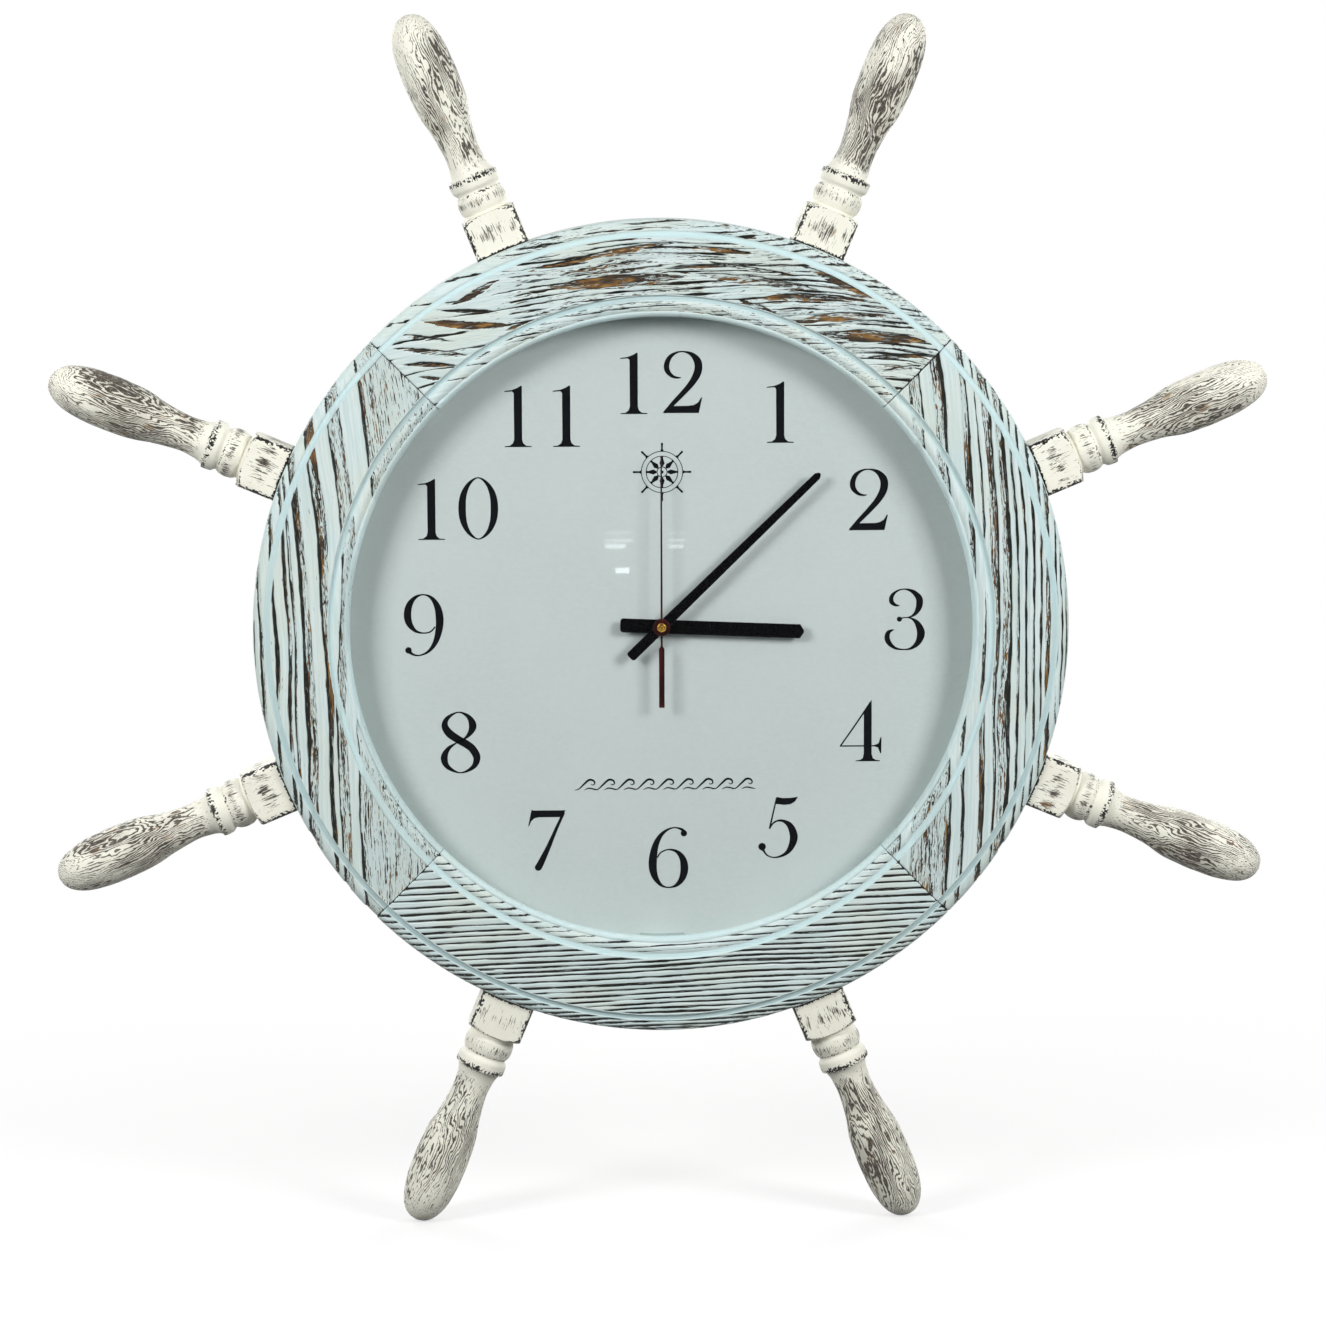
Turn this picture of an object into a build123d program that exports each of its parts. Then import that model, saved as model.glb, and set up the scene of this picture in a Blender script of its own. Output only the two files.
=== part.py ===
from build123d import *
from math import cos, pi, radians, sin
import os

# A ship wheel wall clock. Millimetres; the hands' axis is the Y axis through the origin,
# the dial faces -Y, 12 o'clock points to +Z, and Y = 0 is half way through the rim.

# Rim: four mitred quarters with a moulding on both edges of a flat field
rim_opening_radius = 180.5
inner_moulding_width = 12.6
field_width = 33.0
outer_moulding_width = 10.2
rim_thickness = 46.0
outer_cove_width = 3.9
outer_cove_depth = 2.4
outer_round_depth = 4.1
inner_cove_width = 3.1
inner_cove_depth = 2.0
inner_round_depth = 4.5
cove_chords = 2  # straight cuts that make up each hollow of the moulding
round_chords = 2  # and each round
rebate_ledge = 7.0  # in front of the glass, all round

# Mitre splines
spline_margin = 8.0  # from the rebate's wall, and from the rim's outer edge
spline_width = 24.0
spline_thickness = 4.0
spline_offset = 8.0  # of the spline's middle behind the rim's middle
spline_clearance = 0.1

# Handles: square block, cove, bead, collar, waisted neck and swelling grip; 762 over opposite tips
handle_count = 8
first_handle_angle = 22.5  # degrees, anticlockwise from 3 o'clock, seen from the front
block_width = 32.0
block_length = 23.9
block_corner_radius = 24.0  # a turning that just clears the block's corners
block_hollow_depth = 1.0  # more than the rim's curve takes out of the block's foot
shoulder_length = 4.2  # the block's corners are turned away over this length
shoulder_radius = 14.2
cove_length = 1.8
cove_radius = 12.9
bead_length = 11.4
bead_radius = 14.3
bead_start_share = 0.25  # where the bead is widest, in shares of its length
bead_end_share = 0.7
groove_radius = 12.6
collar_length = 8.7
collar_radius = 14.6
collar_start_share = 0.3
grip_length = 98.9  # from the collar to the tip, with the neck
neck_radius = 10.2
grip_radius = 15.8
# Shares of the grip's length, and of the rise from neck to grip
swell_shares = ((0.04, 0.33), (0.15, 0.02), (0.29, 0.3), (0.40, 0.78), (0.52, 0.97), (0.72, 0.97), (0.86, 0.62))
# Shares of the grip's length, and of its radius
tip_shares = ((0.94, 0.66), (0.985, 0.36), (1.0, 0.12))
handle_sides = 12  # turned surfaces are cut as this many flats
tenon_width = 16.0
tenon_length = 28.0
tenon_clearance = 0.1
block_seat_gap = 0.05

# Glass, blocks, face and board, from the front backwards, in the rim's rebate
glass_setback = 8.0  # the glass's front behind the rim's front
glass_thickness = 3.0
rebate_clearance = 0.5
hands_room = 13.0  # from the glass to the face
spacer_count = 8
spacer_depth = 4.9
spacer_arc = 8.0  # degrees
face_thickness = 0.4
face_margin = 0.4  # from the face's edge to the board's
board_thickness = 4.0
first_spacer_angle = 0.0

# Keyhole hanger, let into the back of the top quarter
hanger_width = 50.0
hanger_height = 22.0
hanger_thickness = 1.5
keyhole_radius = 4.8
keyhole_drop = 4.0  # the round hole's centre below the plate's middle
slot_width = 4.8
slot_rise = 9.0  # the slot's upper end above the round hole's centre
pocket_depth = 9.0
pocket_margin = 1.2
hanger_clearance = 0.1

# Quartz movement: case with a train room above and a battery bay below
case_wall = 1.4
case_front_wall = 1.2
lid_thickness = 1.4
bush_radius = 3.8
bush_length = 6.4
bush_clearance = 0.3
running_clearance = 0.05
arbor_radius = 0.4
pivot_length = 0.7
end_shake = 0.1
tube_wall = 0.9
cannon_radius = 1.5

# Wheels: tooth counts and modules
rotor_leaves = 6
fifth_teeth = 30
fifth_leaves = 6
second_teeth = 36
second_leaves = 6
third_teeth = 45
third_leaves = 6
minute_drive_teeth = 48
cannon_leaves = 8
motion_teeth = 24
motion_leaves = 6
hour_teeth = 24
setting_leaves = 10
rotor_module = 0.30
fifth_module = 0.44
second_module = 0.36
motion_module = 0.60
addendum = 0.75  # in modules
dedendum = 1.1
wheel_thickness = 0.8
leaf_thickness = 1.2
level_step = 1.8  # from one wheel's level to the next
first_level = 1.1  # the hour wheel's middle behind the case's front wall
fifth_angle = 0.0  # degrees, from the hands' axis to each arbor
third_angle = 100.0
motion_angle = 190.0
rotor_angle = 20.0  # from the fifth wheel's arbor
setting_angle = 180.0  # from the motion wheel's post
post_radius = 0.6
setting_arbor_radius = 1.0
knob_radius = 4.0
knob_length = 1.2
knob_gap = 0.2
knob_grips = 10
knob_grip_depth = 0.5
magnet_radius = 2.5
magnet_length = 3.0

# Motor and circuit
stator_thickness = 0.8
stator_gap = 0.5  # between the magnet and the stator's hole
stator_wall = 1.0  # beside the hole
stator_leg_width = 3.0
stator_top_gap = 1.7  # below the case's top wall
stator_post_width = 2.0
motor_level = 2.5  # in wheel levels
coil_height = 5.4
coil_thickness = 5.4
coil_cheek = 0.6
core_height = 2.4
circuit_width = 13.0
circuit_height = 15.0
circuit_thickness = 1.0
circuit_gap = 0.4  # from the case's walls
crystal_radius = 1.0
crystal_length = 6.0

# Battery and its contacts
battery_radius = 7.1
battery_length = 49.1  # without the nub
battery_nub_radius = 2.75
battery_nub_length = 1.4
battery_front_gap = 0.4  # from the cell to the case's front wall
battery_back_gap = 0.2  # the cell's back in front of the case's back
battery_side_gap = 0.5  # above and below the cell
spring_room = 2.3  # from the cell's flat end to the case's wall
contact_thickness = 0.3
contact_width = 8.0
contact_gap = 0.1

# Hands
hand_thickness = 0.8
hour_hand_length = 83.1
hour_hand_tail = 24.0
hour_hand_width = 8.2
minute_hand_length = 128.2
minute_hand_tail = 25.7
minute_hand_width = 6.1
minute_hand_tip_width = 3.5
hand_point_length = 3.5
hand_point_width = 1.4
hand_tail_corner = 1.6
second_hand_length = 99.5
second_hand_tail = 47.0
second_hand_width = 1.2
second_hand_thickness = 0.5
counterweight_start = 11.0
counterweight_width = 3.2
hub_radius = 5.0
hub_thickness = 0.9
boss_radius = 2.8
boss_height = 1.6
boss_dimple_radius = 1.3
boss_dimple_depth = 0.5
nut_radius = 2.6
nut_thickness = 1.0
hour_hand_angle = 92.3  # degrees clockwise from 12, as the hands stand at rest
minute_hand_angle = 46.0
second_hand_angle = 0.0
hour_hand_height = 4.8  # of each hand's back above the face
minute_hand_height = 7.0
second_hand_height = 9.3
tube_stand = 0.4  # a tube's end above its hand's front
hand_fit = 0.02

# The movement's size comes from the cell that it holds
room_width = battery_length + battery_nub_length + contact_gap + contact_thickness + spring_room
case_width = room_width + 2 * case_wall
case_depth = case_front_wall + battery_front_gap + 2 * battery_radius + battery_back_gap
bay_height = 2 * battery_radius + 2 * battery_side_gap + 2 * case_wall

# Places along Y
rim_front = -rim_thickness / 2
rim_back = rim_thickness / 2
glass_front = rim_front + glass_setback
glass_back = glass_front + glass_thickness
face_front = glass_back + hands_room
face_back = face_front + face_thickness
board_back = face_back + board_thickness
case_front = board_back
case_back = case_front + case_depth
room_front = case_front + case_front_wall
lid_front = case_back - lid_thickness
hour_hand_back = face_front - hour_hand_height
minute_hand_back = face_front - minute_hand_height
second_hand_back = face_front - second_hand_height

# Places in the wheel's plane
field_inner_radius = rim_opening_radius + inner_moulding_width
field_outer_radius = field_inner_radius + field_width
rim_outer_radius = field_outer_radius + outer_moulding_width
rebate_radius = rim_opening_radius + rebate_ledge
hanger_centre = (rebate_radius + rim_outer_radius) / 2
keyhole_centre = hanger_centre - keyhole_drop
block_end = rim_outer_radius + block_length
disc_radius = rebate_radius - rebate_clearance
face_radius = disc_radius - face_margin
case_edge = case_width / 2
room_edge = case_edge - case_wall
bay_top = -case_edge + bay_height
hour_tube_radius = cannon_radius + running_clearance + tube_wall
cannon_front = minute_hand_back - hand_thickness - nut_thickness


def box(x, y, z):
    """A box from three pairs of limits."""
    size = [high - low for low, high in (x, y, z)]
    middle = [(high + low) / 2 for low, high in (x, y, z)]
    return Pos(*middle) * Box(*size)


def rod(radius, front, back, x=0.0, z=0.0):
    """A round bar along Y."""
    return Pos(x, (front + back) / 2, z) * Rot(90, 0, 0) * Cylinder(radius, back - front)


def turned_to(angle, shape):
    """A shape made at 3 o'clock, moved anticlockwise by an angle in degrees."""
    return Rot(0, -angle, 0) * shape


def polar(radius, angle):
    """X and Z at a distance and an anticlockwise angle from the hands' axis."""
    return radius * cos(radians(angle)), radius * sin(radians(angle))


def hollow_points(start, width, depth):
    """A cove's points after its start, in chords: steep first, then level."""
    turns = [pi / 2 * chord / cove_chords for chord in range(1, cove_chords + 1)]
    return [(start[0] + width * (1 - cos(turn)), start[1] + depth * sin(turn)) for turn in turns]


def round_points(start, width, depth):
    """A round's points after its start, in chords: level first, then steep."""
    turns = [pi / 2 * chord / round_chords for chord in range(1, round_chords + 1)]
    return [(start[0] + width * sin(turn), start[1] + depth * (1 - cos(turn))) for turn in turns]


def rim_profile():
    """The rim's section: radius, and place along Y."""
    outer = [(field_outer_radius, rim_front)]
    outer += hollow_points(outer[-1], outer_cove_width, outer_cove_depth)
    outer += round_points(outer[-1], rim_outer_radius - outer[-1][0], outer_round_depth)
    back = [
        (rim_outer_radius, rim_back),
        (rebate_radius, rim_back),
        (rebate_radius, glass_front),
        (rim_opening_radius, glass_front),
    ]
    inner = [(field_inner_radius, rim_front)]
    inner += hollow_points(inner[-1], -inner_cove_width, inner_cove_depth)
    inner += round_points(inner[-1], rim_opening_radius - inner[-1][0], inner_round_depth)
    return outer + back + inner[::-1]


def spline_bar(gap):
    """One mitre spline at 3 o'clock, or its slot when the gap is over 0."""
    half = spline_width / 2 + gap
    deep = spline_thickness / 2 + gap
    return box(
        (rebate_radius + spline_margin - gap, rim_outer_radius - spline_margin + gap),
        (spline_offset - deep, spline_offset + deep),
        (-half, half),
    )


def tenon_bar(gap):
    """A handle's square tenon at 3 o'clock, or its mortise when the gap is over 0."""
    half = tenon_width / 2 + gap
    inner_end = rim_outer_radius - tenon_length - gap
    return box((inner_end, block_end - shoulder_length), (-half, half), (-half, half))


def handle_angles():
    """The angle of each handle."""
    return [first_handle_angle + 360 / handle_count * number for number in range(handle_count)]


def rim_quarter(angle):
    """The quarter of the rim whose middle is at an angle."""
    section = make_face(Plane.XY * Polyline(*rim_profile(), close=True))
    quarter = turned_to(angle - 45, revolve(section, Axis.Y, -90))
    for mitre in (angle - 45, angle + 45):
        quarter -= turned_to(mitre, spline_bar(spline_clearance))
    for handle in handle_angles():
        if abs((handle - angle + 180) % 360 - 180) < 45:
            quarter -= turned_to(handle, tenon_bar(tenon_clearance))
    return quarter


def hanger_plan(gap):
    """The hanger plate's outline, or its recess when the gap is over 0."""
    half = hanger_width / 2 + gap
    low = hanger_centre - hanger_height / 2 - gap
    high = hanger_centre + hanger_height / 2 + gap
    return (-half, half), (low, high)


def hanger_plate():
    """The keyhole plate."""
    across, up = hanger_plan(0.0)
    plate = box(across, (rim_back - hanger_thickness, rim_back), up)
    through = (rim_back - 2 * hanger_thickness, rim_back + hanger_thickness)
    plate -= rod(keyhole_radius, *through, 0, keyhole_centre)
    slot_top = keyhole_centre + slot_rise - slot_width / 2
    plate -= box((-slot_width / 2, slot_width / 2), through, (keyhole_centre, slot_top))
    plate -= rod(slot_width / 2, *through, 0, slot_top)
    return plate


def hanger_recess():
    """The recess for the plate and the deeper pocket for the wall screw's head."""
    across, up = hanger_plan(hanger_clearance)
    recess = box(across, (rim_back - hanger_thickness, rim_back + hanger_thickness), up)
    reach = keyhole_radius + pocket_margin
    pocket = box(
        (-reach, reach),
        (rim_back - pocket_depth, rim_back),
        (keyhole_centre - reach, keyhole_centre + slot_rise + pocket_margin),
    )
    return recess + pocket


def turning(stations):
    """A shape turned about X through (place, radius) stations, cut as flats."""
    rings = []
    for place, radius in stations:
        turns = [2 * pi * (side + 0.5) / handle_sides for side in range(handle_sides)]
        rings.append([(place, radius * cos(turn), radius * sin(turn)) for turn in turns])
    faces = [Face(Wire.make_polygon(ring)) for ring in (rings[0], rings[-1])]
    for ring, further in zip(rings, rings[1:]):
        for side in range(handle_sides):
            flat = (ring[side - 1], ring[side], further[side], further[side - 1])
            faces.append(Face(Wire.make_polygon(flat)))
    return Solid(Shell(faces))


def handle_stations():
    """Where each cut of the turning lies, and its radius, from the block outwards."""
    cove = block_end
    bead = cove + cove_length
    groove = bead + bead_length
    collar = groove + collar_length
    stations = [
        (cove, shoulder_radius),
        (cove + cove_length / 2, cove_radius),
        (bead, cove_radius),
        (bead + bead_length * bead_start_share, bead_radius),
        (bead + bead_length * bead_end_share, bead_radius),
        (groove, groove_radius),
        (groove + collar_length * collar_start_share, collar_radius),
        (collar, collar_radius),
    ]
    rise = grip_radius - neck_radius
    stations += [(collar + grip_length * along, neck_radius + rise * share) for along, share in swell_shares]
    stations += [(collar + grip_length * along, grip_radius * share) for along, share in tip_shares]
    return stations


def handle():
    """One handle at 3 o'clock."""
    half = block_width / 2
    block = box((rim_outer_radius - block_hollow_depth, block_end), (-half, half), (-half, half))
    block &= turning(
        [
            (rim_outer_radius - 2 * block_hollow_depth, block_corner_radius),
            (block_end - shoulder_length, block_corner_radius),
            (block_end, shoulder_radius),
        ]
    )
    block -= rod(rim_outer_radius + block_seat_gap, -half, half)
    return block + tenon_bar(0.0) + turning(handle_stations())


def blocks():
    """The blocks that keep the face off the glass, glued to the rebate's wall."""
    outer = disc_radius
    section = Plane.XY * make_face(
        Polyline(
            (outer - spacer_depth, glass_back),
            (outer, glass_back),
            (outer, face_front),
            (outer - spacer_depth, face_front),
            close=True,
        )
    )
    one = turned_to(-spacer_arc / 2, revolve(section, Axis.Y, -spacer_arc))
    angles = [first_spacer_angle + 360 / spacer_count * number for number in range(spacer_count)]
    return Compound([turned_to(angle, one) for angle in angles])


def level(number):
    """The middle of a level of wheels, along Y."""
    return room_front + first_level + level_step * number


def slab(outline, front, back):
    """A flat plate with an outline in X and Z."""
    return Pos(0, back, 0) * extrude(Plane.XZ * outline, back - front)


def toothed(teeth, module, middle, thickness, place, phase):
    """A wheel or pinion without its bore; phase is the angle of one tooth."""
    pitch = 360 / teeth
    root = module * (teeth / 2 - dedendum)
    tip = module * (teeth / 2 + addendum)
    points = []
    for tooth in range(teeth):
        angle = phase + pitch * tooth
        points += [polar(root, angle - pitch / 2), polar(tip, angle)]
    outline = make_face(Polyline(*points, close=True))
    return Pos(place[0], 0, place[1]) * slab(outline, middle - thickness / 2, middle + thickness / 2)


def meshed_phase(direction, driver_phase, driver_teeth, teeth):
    """The phase that puts a wheel in mesh with the driver, which lies against direction."""
    return direction + 180 - (driver_phase - direction) * driver_teeth / teeth + 180 / teeth


def beyond(place, distance, angle):
    """A place at a distance and an angle from another."""
    across, up = polar(distance, angle)
    return place[0] + across, place[1] + up


# Where each arbor stands, from the modules and tooth counts
centre = (0.0, 0.0)
fifth_distance = fifth_module * (second_teeth + fifth_leaves) / 2
rotor_distance = rotor_module * (fifth_teeth + rotor_leaves) / 2
third_distance = second_module * (third_teeth + second_leaves) / 2
third_module = 2 * third_distance / (minute_drive_teeth + third_leaves)
motion_distance = motion_module * (motion_teeth + cannon_leaves) / 2
hour_module = 2 * motion_distance / (hour_teeth + motion_leaves)
setting_distance = motion_module * (motion_teeth + setting_leaves) / 2
fifth_place = beyond(centre, fifth_distance, fifth_angle)
rotor_place = beyond(fifth_place, rotor_distance, rotor_angle)
third_place = beyond(centre, third_distance, third_angle)
motion_place = beyond(centre, motion_distance, motion_angle)
setting_place = beyond(motion_place, setting_distance, setting_angle)
motion_phase = meshed_phase(motion_angle, motion_angle, cannon_leaves, motion_teeth)


def arbor(place, front=None):
    """A thin arbor, pivoted in the lid and, unless its front is given, in the front wall."""
    front = room_front - pivot_length + end_shake if front is None else front
    return rod(arbor_radius, front, lid_front + pivot_length - end_shake, *place)


def pivot_sockets(places, front, back):
    """Square sockets for the thin arbors' ends."""
    reach = arbor_radius + running_clearance
    return [box((x - reach, x + reach), (front, back), (z - reach, z + reach)) for x, z in places]


def second_wheel():
    """The second hand's arbor, with its wheel and the pinion that drives the third wheel."""
    pinion = toothed(second_leaves, second_module, level(3), leaf_thickness, centre, third_angle)
    wheel = toothed(second_teeth, fifth_module, level(4), wheel_thickness, centre, fifth_angle)
    return arbor(centre, second_hand_back - hub_thickness) + pinion + wheel


def fifth_wheel():
    """The wheel between the rotor and the second wheel."""
    phase = meshed_phase(fifth_angle, fifth_angle, second_teeth, fifth_leaves)
    pinion = toothed(fifth_leaves, fifth_module, level(4), leaf_thickness, fifth_place, phase)
    wheel = toothed(fifth_teeth, rotor_module, level(5), wheel_thickness, fifth_place, rotor_angle)
    return arbor(fifth_place) + pinion + wheel


def rotor():
    """The motor's magnet and pinion."""
    phase = meshed_phase(rotor_angle, rotor_angle, fifth_teeth, rotor_leaves)
    pinion = toothed(rotor_leaves, rotor_module, level(5), leaf_thickness, rotor_place, phase)
    half = magnet_length / 2
    magnet = rod(magnet_radius, level(motor_level) - half, level(motor_level) + half, *rotor_place)
    return arbor(rotor_place) + pinion + magnet


def third_wheel():
    """The wheel that slows the second wheel down for the minutes."""
    phase = meshed_phase(third_angle, third_angle, second_leaves, third_teeth)
    wheel = toothed(third_teeth, second_module, level(3), wheel_thickness, third_place, phase)
    pinion = toothed(third_leaves, third_module, level(2), leaf_thickness, third_place, third_angle)
    return arbor(third_place) + pinion + wheel


def minute_drive_wheel():
    """The wheel that grips the cannon pinion's tube by friction."""
    phase = meshed_phase(third_angle + 180, third_angle, third_leaves, minute_drive_teeth)
    front, back = level(2) - wheel_thickness / 2, level(2) + wheel_thickness / 2
    wheel = toothed(minute_drive_teeth, third_module, level(2), wheel_thickness, centre, phase)
    return wheel - rod(cannon_radius + running_clearance, front, back)


def cannon_pinion():
    """The minute hand's tube, with the pinion that drives the motion wheel."""
    back = level(2) + leaf_thickness / 2
    pinion = toothed(cannon_leaves, motion_module, level(1), leaf_thickness, centre, motion_angle)
    bore = rod(arbor_radius + running_clearance, cannon_front, back)
    return rod(cannon_radius, cannon_front, back) + pinion - bore


def motion_wheel():
    """The wheel and pinion that turn the hour wheel, free on a post of the case."""
    wheel = toothed(motion_teeth, motion_module, level(1), wheel_thickness, motion_place, motion_phase)
    front, back = level(0) - leaf_thickness / 2, level(1) + leaf_thickness / 2
    middle, length = (front + level(1)) / 2, level(1) - front
    pinion = toothed(motion_leaves, hour_module, middle, length, motion_place, motion_angle)
    return wheel + pinion - rod(post_radius + running_clearance, front, back, *motion_place)


def hour_wheel():
    """The hour hand's tube and its wheel."""
    phase = meshed_phase(motion_angle + 180, motion_angle, motion_leaves, hour_teeth)
    front = hour_hand_back - hand_thickness - tube_stand
    back = level(0) + wheel_thickness / 2
    wheel = toothed(hour_teeth, hour_module, level(0), wheel_thickness, centre, phase)
    bore = rod(cannon_radius + running_clearance, front, back)
    return rod(hour_tube_radius, front, back) + wheel - bore


def setting_knob():
    """The knob at the back, with the pinion that sets the hands."""
    phase = meshed_phase(setting_angle, motion_phase, motion_teeth, setting_leaves)
    pinion = toothed(setting_leaves, motion_module, level(1), leaf_thickness, setting_place, phase)
    front, back = case_back + knob_gap, case_back + knob_gap + knob_length
    grips = []
    for number in range(2 * knob_grips):
        grips.append(polar(knob_radius - knob_grip_depth * (number % 2), 180 / knob_grips * number))
    knob = slab(make_face(Polyline(*grips, close=True)), front, back)
    knob = Pos(setting_place[0], 0, setting_place[1]) * knob
    arbor_front = room_front - pivot_length + end_shake
    return rod(setting_arbor_radius, arbor_front, front, *setting_place) + pinion + knob


# The motor's limits in X and Z
stator_left = rotor_place[0] - magnet_radius - stator_gap - stator_wall
stator_right = room_edge - circuit_gap
stator_low = rotor_place[1] - magnet_radius - stator_gap - stator_wall
stator_high = rotor_place[1] + magnet_radius + stator_gap + stator_wall
stator_top = room_edge - stator_top_gap
stator_front = level(motor_level) - stator_thickness / 2
stator_back = level(motor_level) + stator_thickness / 2


def stator_posts():
    """The two square posts that carry the stator, one behind each leg."""
    margin = (stator_leg_width - stator_post_width) / 2
    up = (stator_high, stator_high + stator_post_width)
    lefts = (stator_left + margin, stator_right - margin - stator_post_width)
    return [box((left, left + stator_post_width), (case_front, stator_front), up) for left in lefts]


def stator():
    """The iron plate that leads the coil's field round the rotor, with the coil's core."""
    along = (stator_front, stator_back)
    plate = box((stator_left, stator_right), along, (stator_low, stator_high))
    for left in (stator_left, stator_right - stator_leg_width):
        plate += box((left, left + stator_leg_width), along, (stator_high, stator_top))
    plate += box((stator_left, stator_right), along, (stator_top - core_height, stator_top))
    return plate - rod(magnet_radius + stator_gap, *along, *rotor_place)


def coil():
    """The winding on its bobbin, round the core."""
    along, up = level(motor_level), stator_top - core_height / 2
    left = stator_left + stator_leg_width + end_shake
    right = stator_right - stator_leg_width - end_shake
    half, deep = coil_height / 2, coil_thickness / 2
    cheeks = []
    for edge in (left, right - coil_cheek):
        cheeks.append(box((edge, edge + coil_cheek), (along - deep, along + deep), (up - half, up + half)))
    half, deep = half - coil_cheek, deep - coil_cheek
    winding = box((left, right), (along - deep, along + deep), (up - half, up + half))
    core = box(
        (left, right),
        (stator_front - end_shake, stator_back + end_shake),
        (stator_top - core_height - end_shake, stator_top + end_shake),
    )
    return winding + cheeks - core


def circuit_board():
    """The circuit board, flat on the case's front wall."""
    left = -room_edge + circuit_gap
    top = room_edge - circuit_gap
    along = (room_front, room_front + circuit_thickness)
    return box((left, left + circuit_width), along, (top - circuit_height, top))


def quartz_crystal():
    """The crystal's round can, lying on the circuit board."""
    along = room_front + circuit_thickness + crystal_radius
    left = -room_edge + circuit_gap + (circuit_width - crystal_length) / 2
    up = room_edge - circuit_gap - circuit_height / 2
    can = Rot(0, 90, 0) * Cylinder(crystal_radius, crystal_length)
    return Pos(left + crystal_length / 2, along, up) * can


def movement_case():
    """The case's tray: front wall and bush, train room and battery bay."""
    outside, inside = (-case_edge, case_edge), (-room_edge, room_edge)
    tray = box(outside, (case_front, case_back), (-case_edge, bay_top))
    tray += box(outside, (case_front, lid_front), (bay_top, case_edge))
    tray -= box(inside, (room_front, case_back), (bay_top, room_edge))
    tray -= box(inside, (room_front, case_back), (-room_edge, bay_top - case_wall))
    tray += rod(bush_radius, case_front - bush_length, room_front)
    tray += rod(post_radius, case_front, level(1) + leaf_thickness / 2, *motion_place)
    tray += stator_posts()
    tray -= rod(hour_tube_radius + running_clearance, case_front - bush_length, room_front)
    socket_front = room_front - pivot_length
    tray -= pivot_sockets((fifth_place, rotor_place, third_place), socket_front, room_front)
    return tray - rod(setting_arbor_radius + running_clearance, socket_front, room_front, *setting_place)


def movement_lid():
    """The case's lid, over the train room alone."""
    lid = box((-case_edge, case_edge), (lid_front, case_back), (bay_top, case_edge))
    places = (centre, fifth_place, rotor_place, third_place)
    lid -= pivot_sockets(places, lid_front, lid_front + pivot_length)
    return lid - rod(setting_arbor_radius + running_clearance, lid_front, case_back, *setting_place)


# The battery bay
bay_middle = (-room_edge + bay_top - case_wall) / 2
cell_along = case_back - battery_back_gap - battery_radius
cell_right = room_edge - contact_thickness - contact_gap - battery_nub_length
cell_left = cell_right - battery_length


def battery():
    """The cell, lying across the bay with its nub to the right."""
    cell = Cylinder(battery_radius, battery_length)
    nub = Cylinder(battery_nub_radius, battery_nub_length)
    cell += Pos(0, 0, (battery_length + battery_nub_length) / 2) * nub
    return Pos((cell_left + cell_right) / 2, cell_along, bay_middle) * Rot(0, 90, 0) * cell


def battery_contacts():
    """The flat plus contact and the bent minus spring, one at each end of the bay."""
    half = contact_width / 2
    up = (bay_middle - half, bay_middle + half)
    along = (cell_along - half, cell_along + half)
    plus = box((room_edge - contact_thickness, room_edge), along, up)
    crest = cell_left - contact_gap
    wall = -room_edge
    bent = make_face(
        Plane.XY
        * Polyline(
            (wall, along[0]),
            (wall + contact_thickness, along[0]),
            (crest, cell_along),
            (wall + contact_thickness, along[1]),
            (wall, along[1]),
            (wall, along[1] - contact_thickness),
            (crest - contact_thickness, cell_along),
            (wall, along[0] + contact_thickness),
            close=True,
        )
    )
    minus = Pos(0, 0, up[0]) * extrude(bent, contact_width)
    return Compound([plus, minus])


def mirrored_outline(side):
    """A face from its right side's points, bottom to top, and their mirror images."""
    other = [(-across, up) for across, up in side[::-1]]
    return make_face(Polyline(*side, *other, close=True))


def bar_hand(length, tail, width, tip_width, bore, back):
    """A flat bar hand pointing at 12, with a bevelled point and a tail with cut corners."""
    half, tip, point = width / 2, tip_width / 2, hand_point_width / 2
    side = [
        (half - hand_tail_corner, -tail),
        (half, hand_tail_corner - tail),
        (half, 0),
        (tip, length - hand_point_length),
        (point, length),
    ]
    front = back - hand_thickness
    return slab(mirrored_outline(side), front, back) - rod(bore, front, back)


def second_hand():
    """The needle, its counterweight bar and its hub disc."""
    thin, wide = second_hand_width / 2, counterweight_width / 2
    side = [
        (wide, -second_hand_tail),
        (wide, -counterweight_start),
        (thin, wide - counterweight_start),
        (thin, second_hand_length),
    ]
    back, hub_front = second_hand_back, second_hand_back - hub_thickness
    needle = slab(mirrored_outline(side), back - second_hand_thickness, back)
    return needle + rod(hub_radius, hub_front, back) - rod(arbor_radius + hand_fit, hub_front, back)


def second_hand_boss():
    """The brass cap in the middle of the second hand."""
    back = second_hand_back - hub_thickness
    front = back - boss_height
    section = Plane.XY * make_face(
        Polyline(
            (0, back),
            (boss_radius, back),
            (boss_radius, back - boss_height / 2),
            (boss_dimple_radius, front),
            (0, front + boss_dimple_depth),
            close=True,
        )
    )
    return revolve(section, Axis.Y)


def hand_nut():
    """The nut that holds the minute hand on its tube."""
    back = minute_hand_back - hand_thickness
    return rod(nut_radius, cannon_front, back) - rod(cannon_radius + hand_fit, cannon_front, back)


def clockwise(angle, shape):
    """A hand made pointing at 12, turned to where it stands."""
    return Rot(0, angle, 0) * shape


def write(name, shape):
    """Writes one sub-part."""
    export_step(shape, os.path.join("parts", name + ".step"))


os.makedirs("parts", exist_ok=True)

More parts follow.
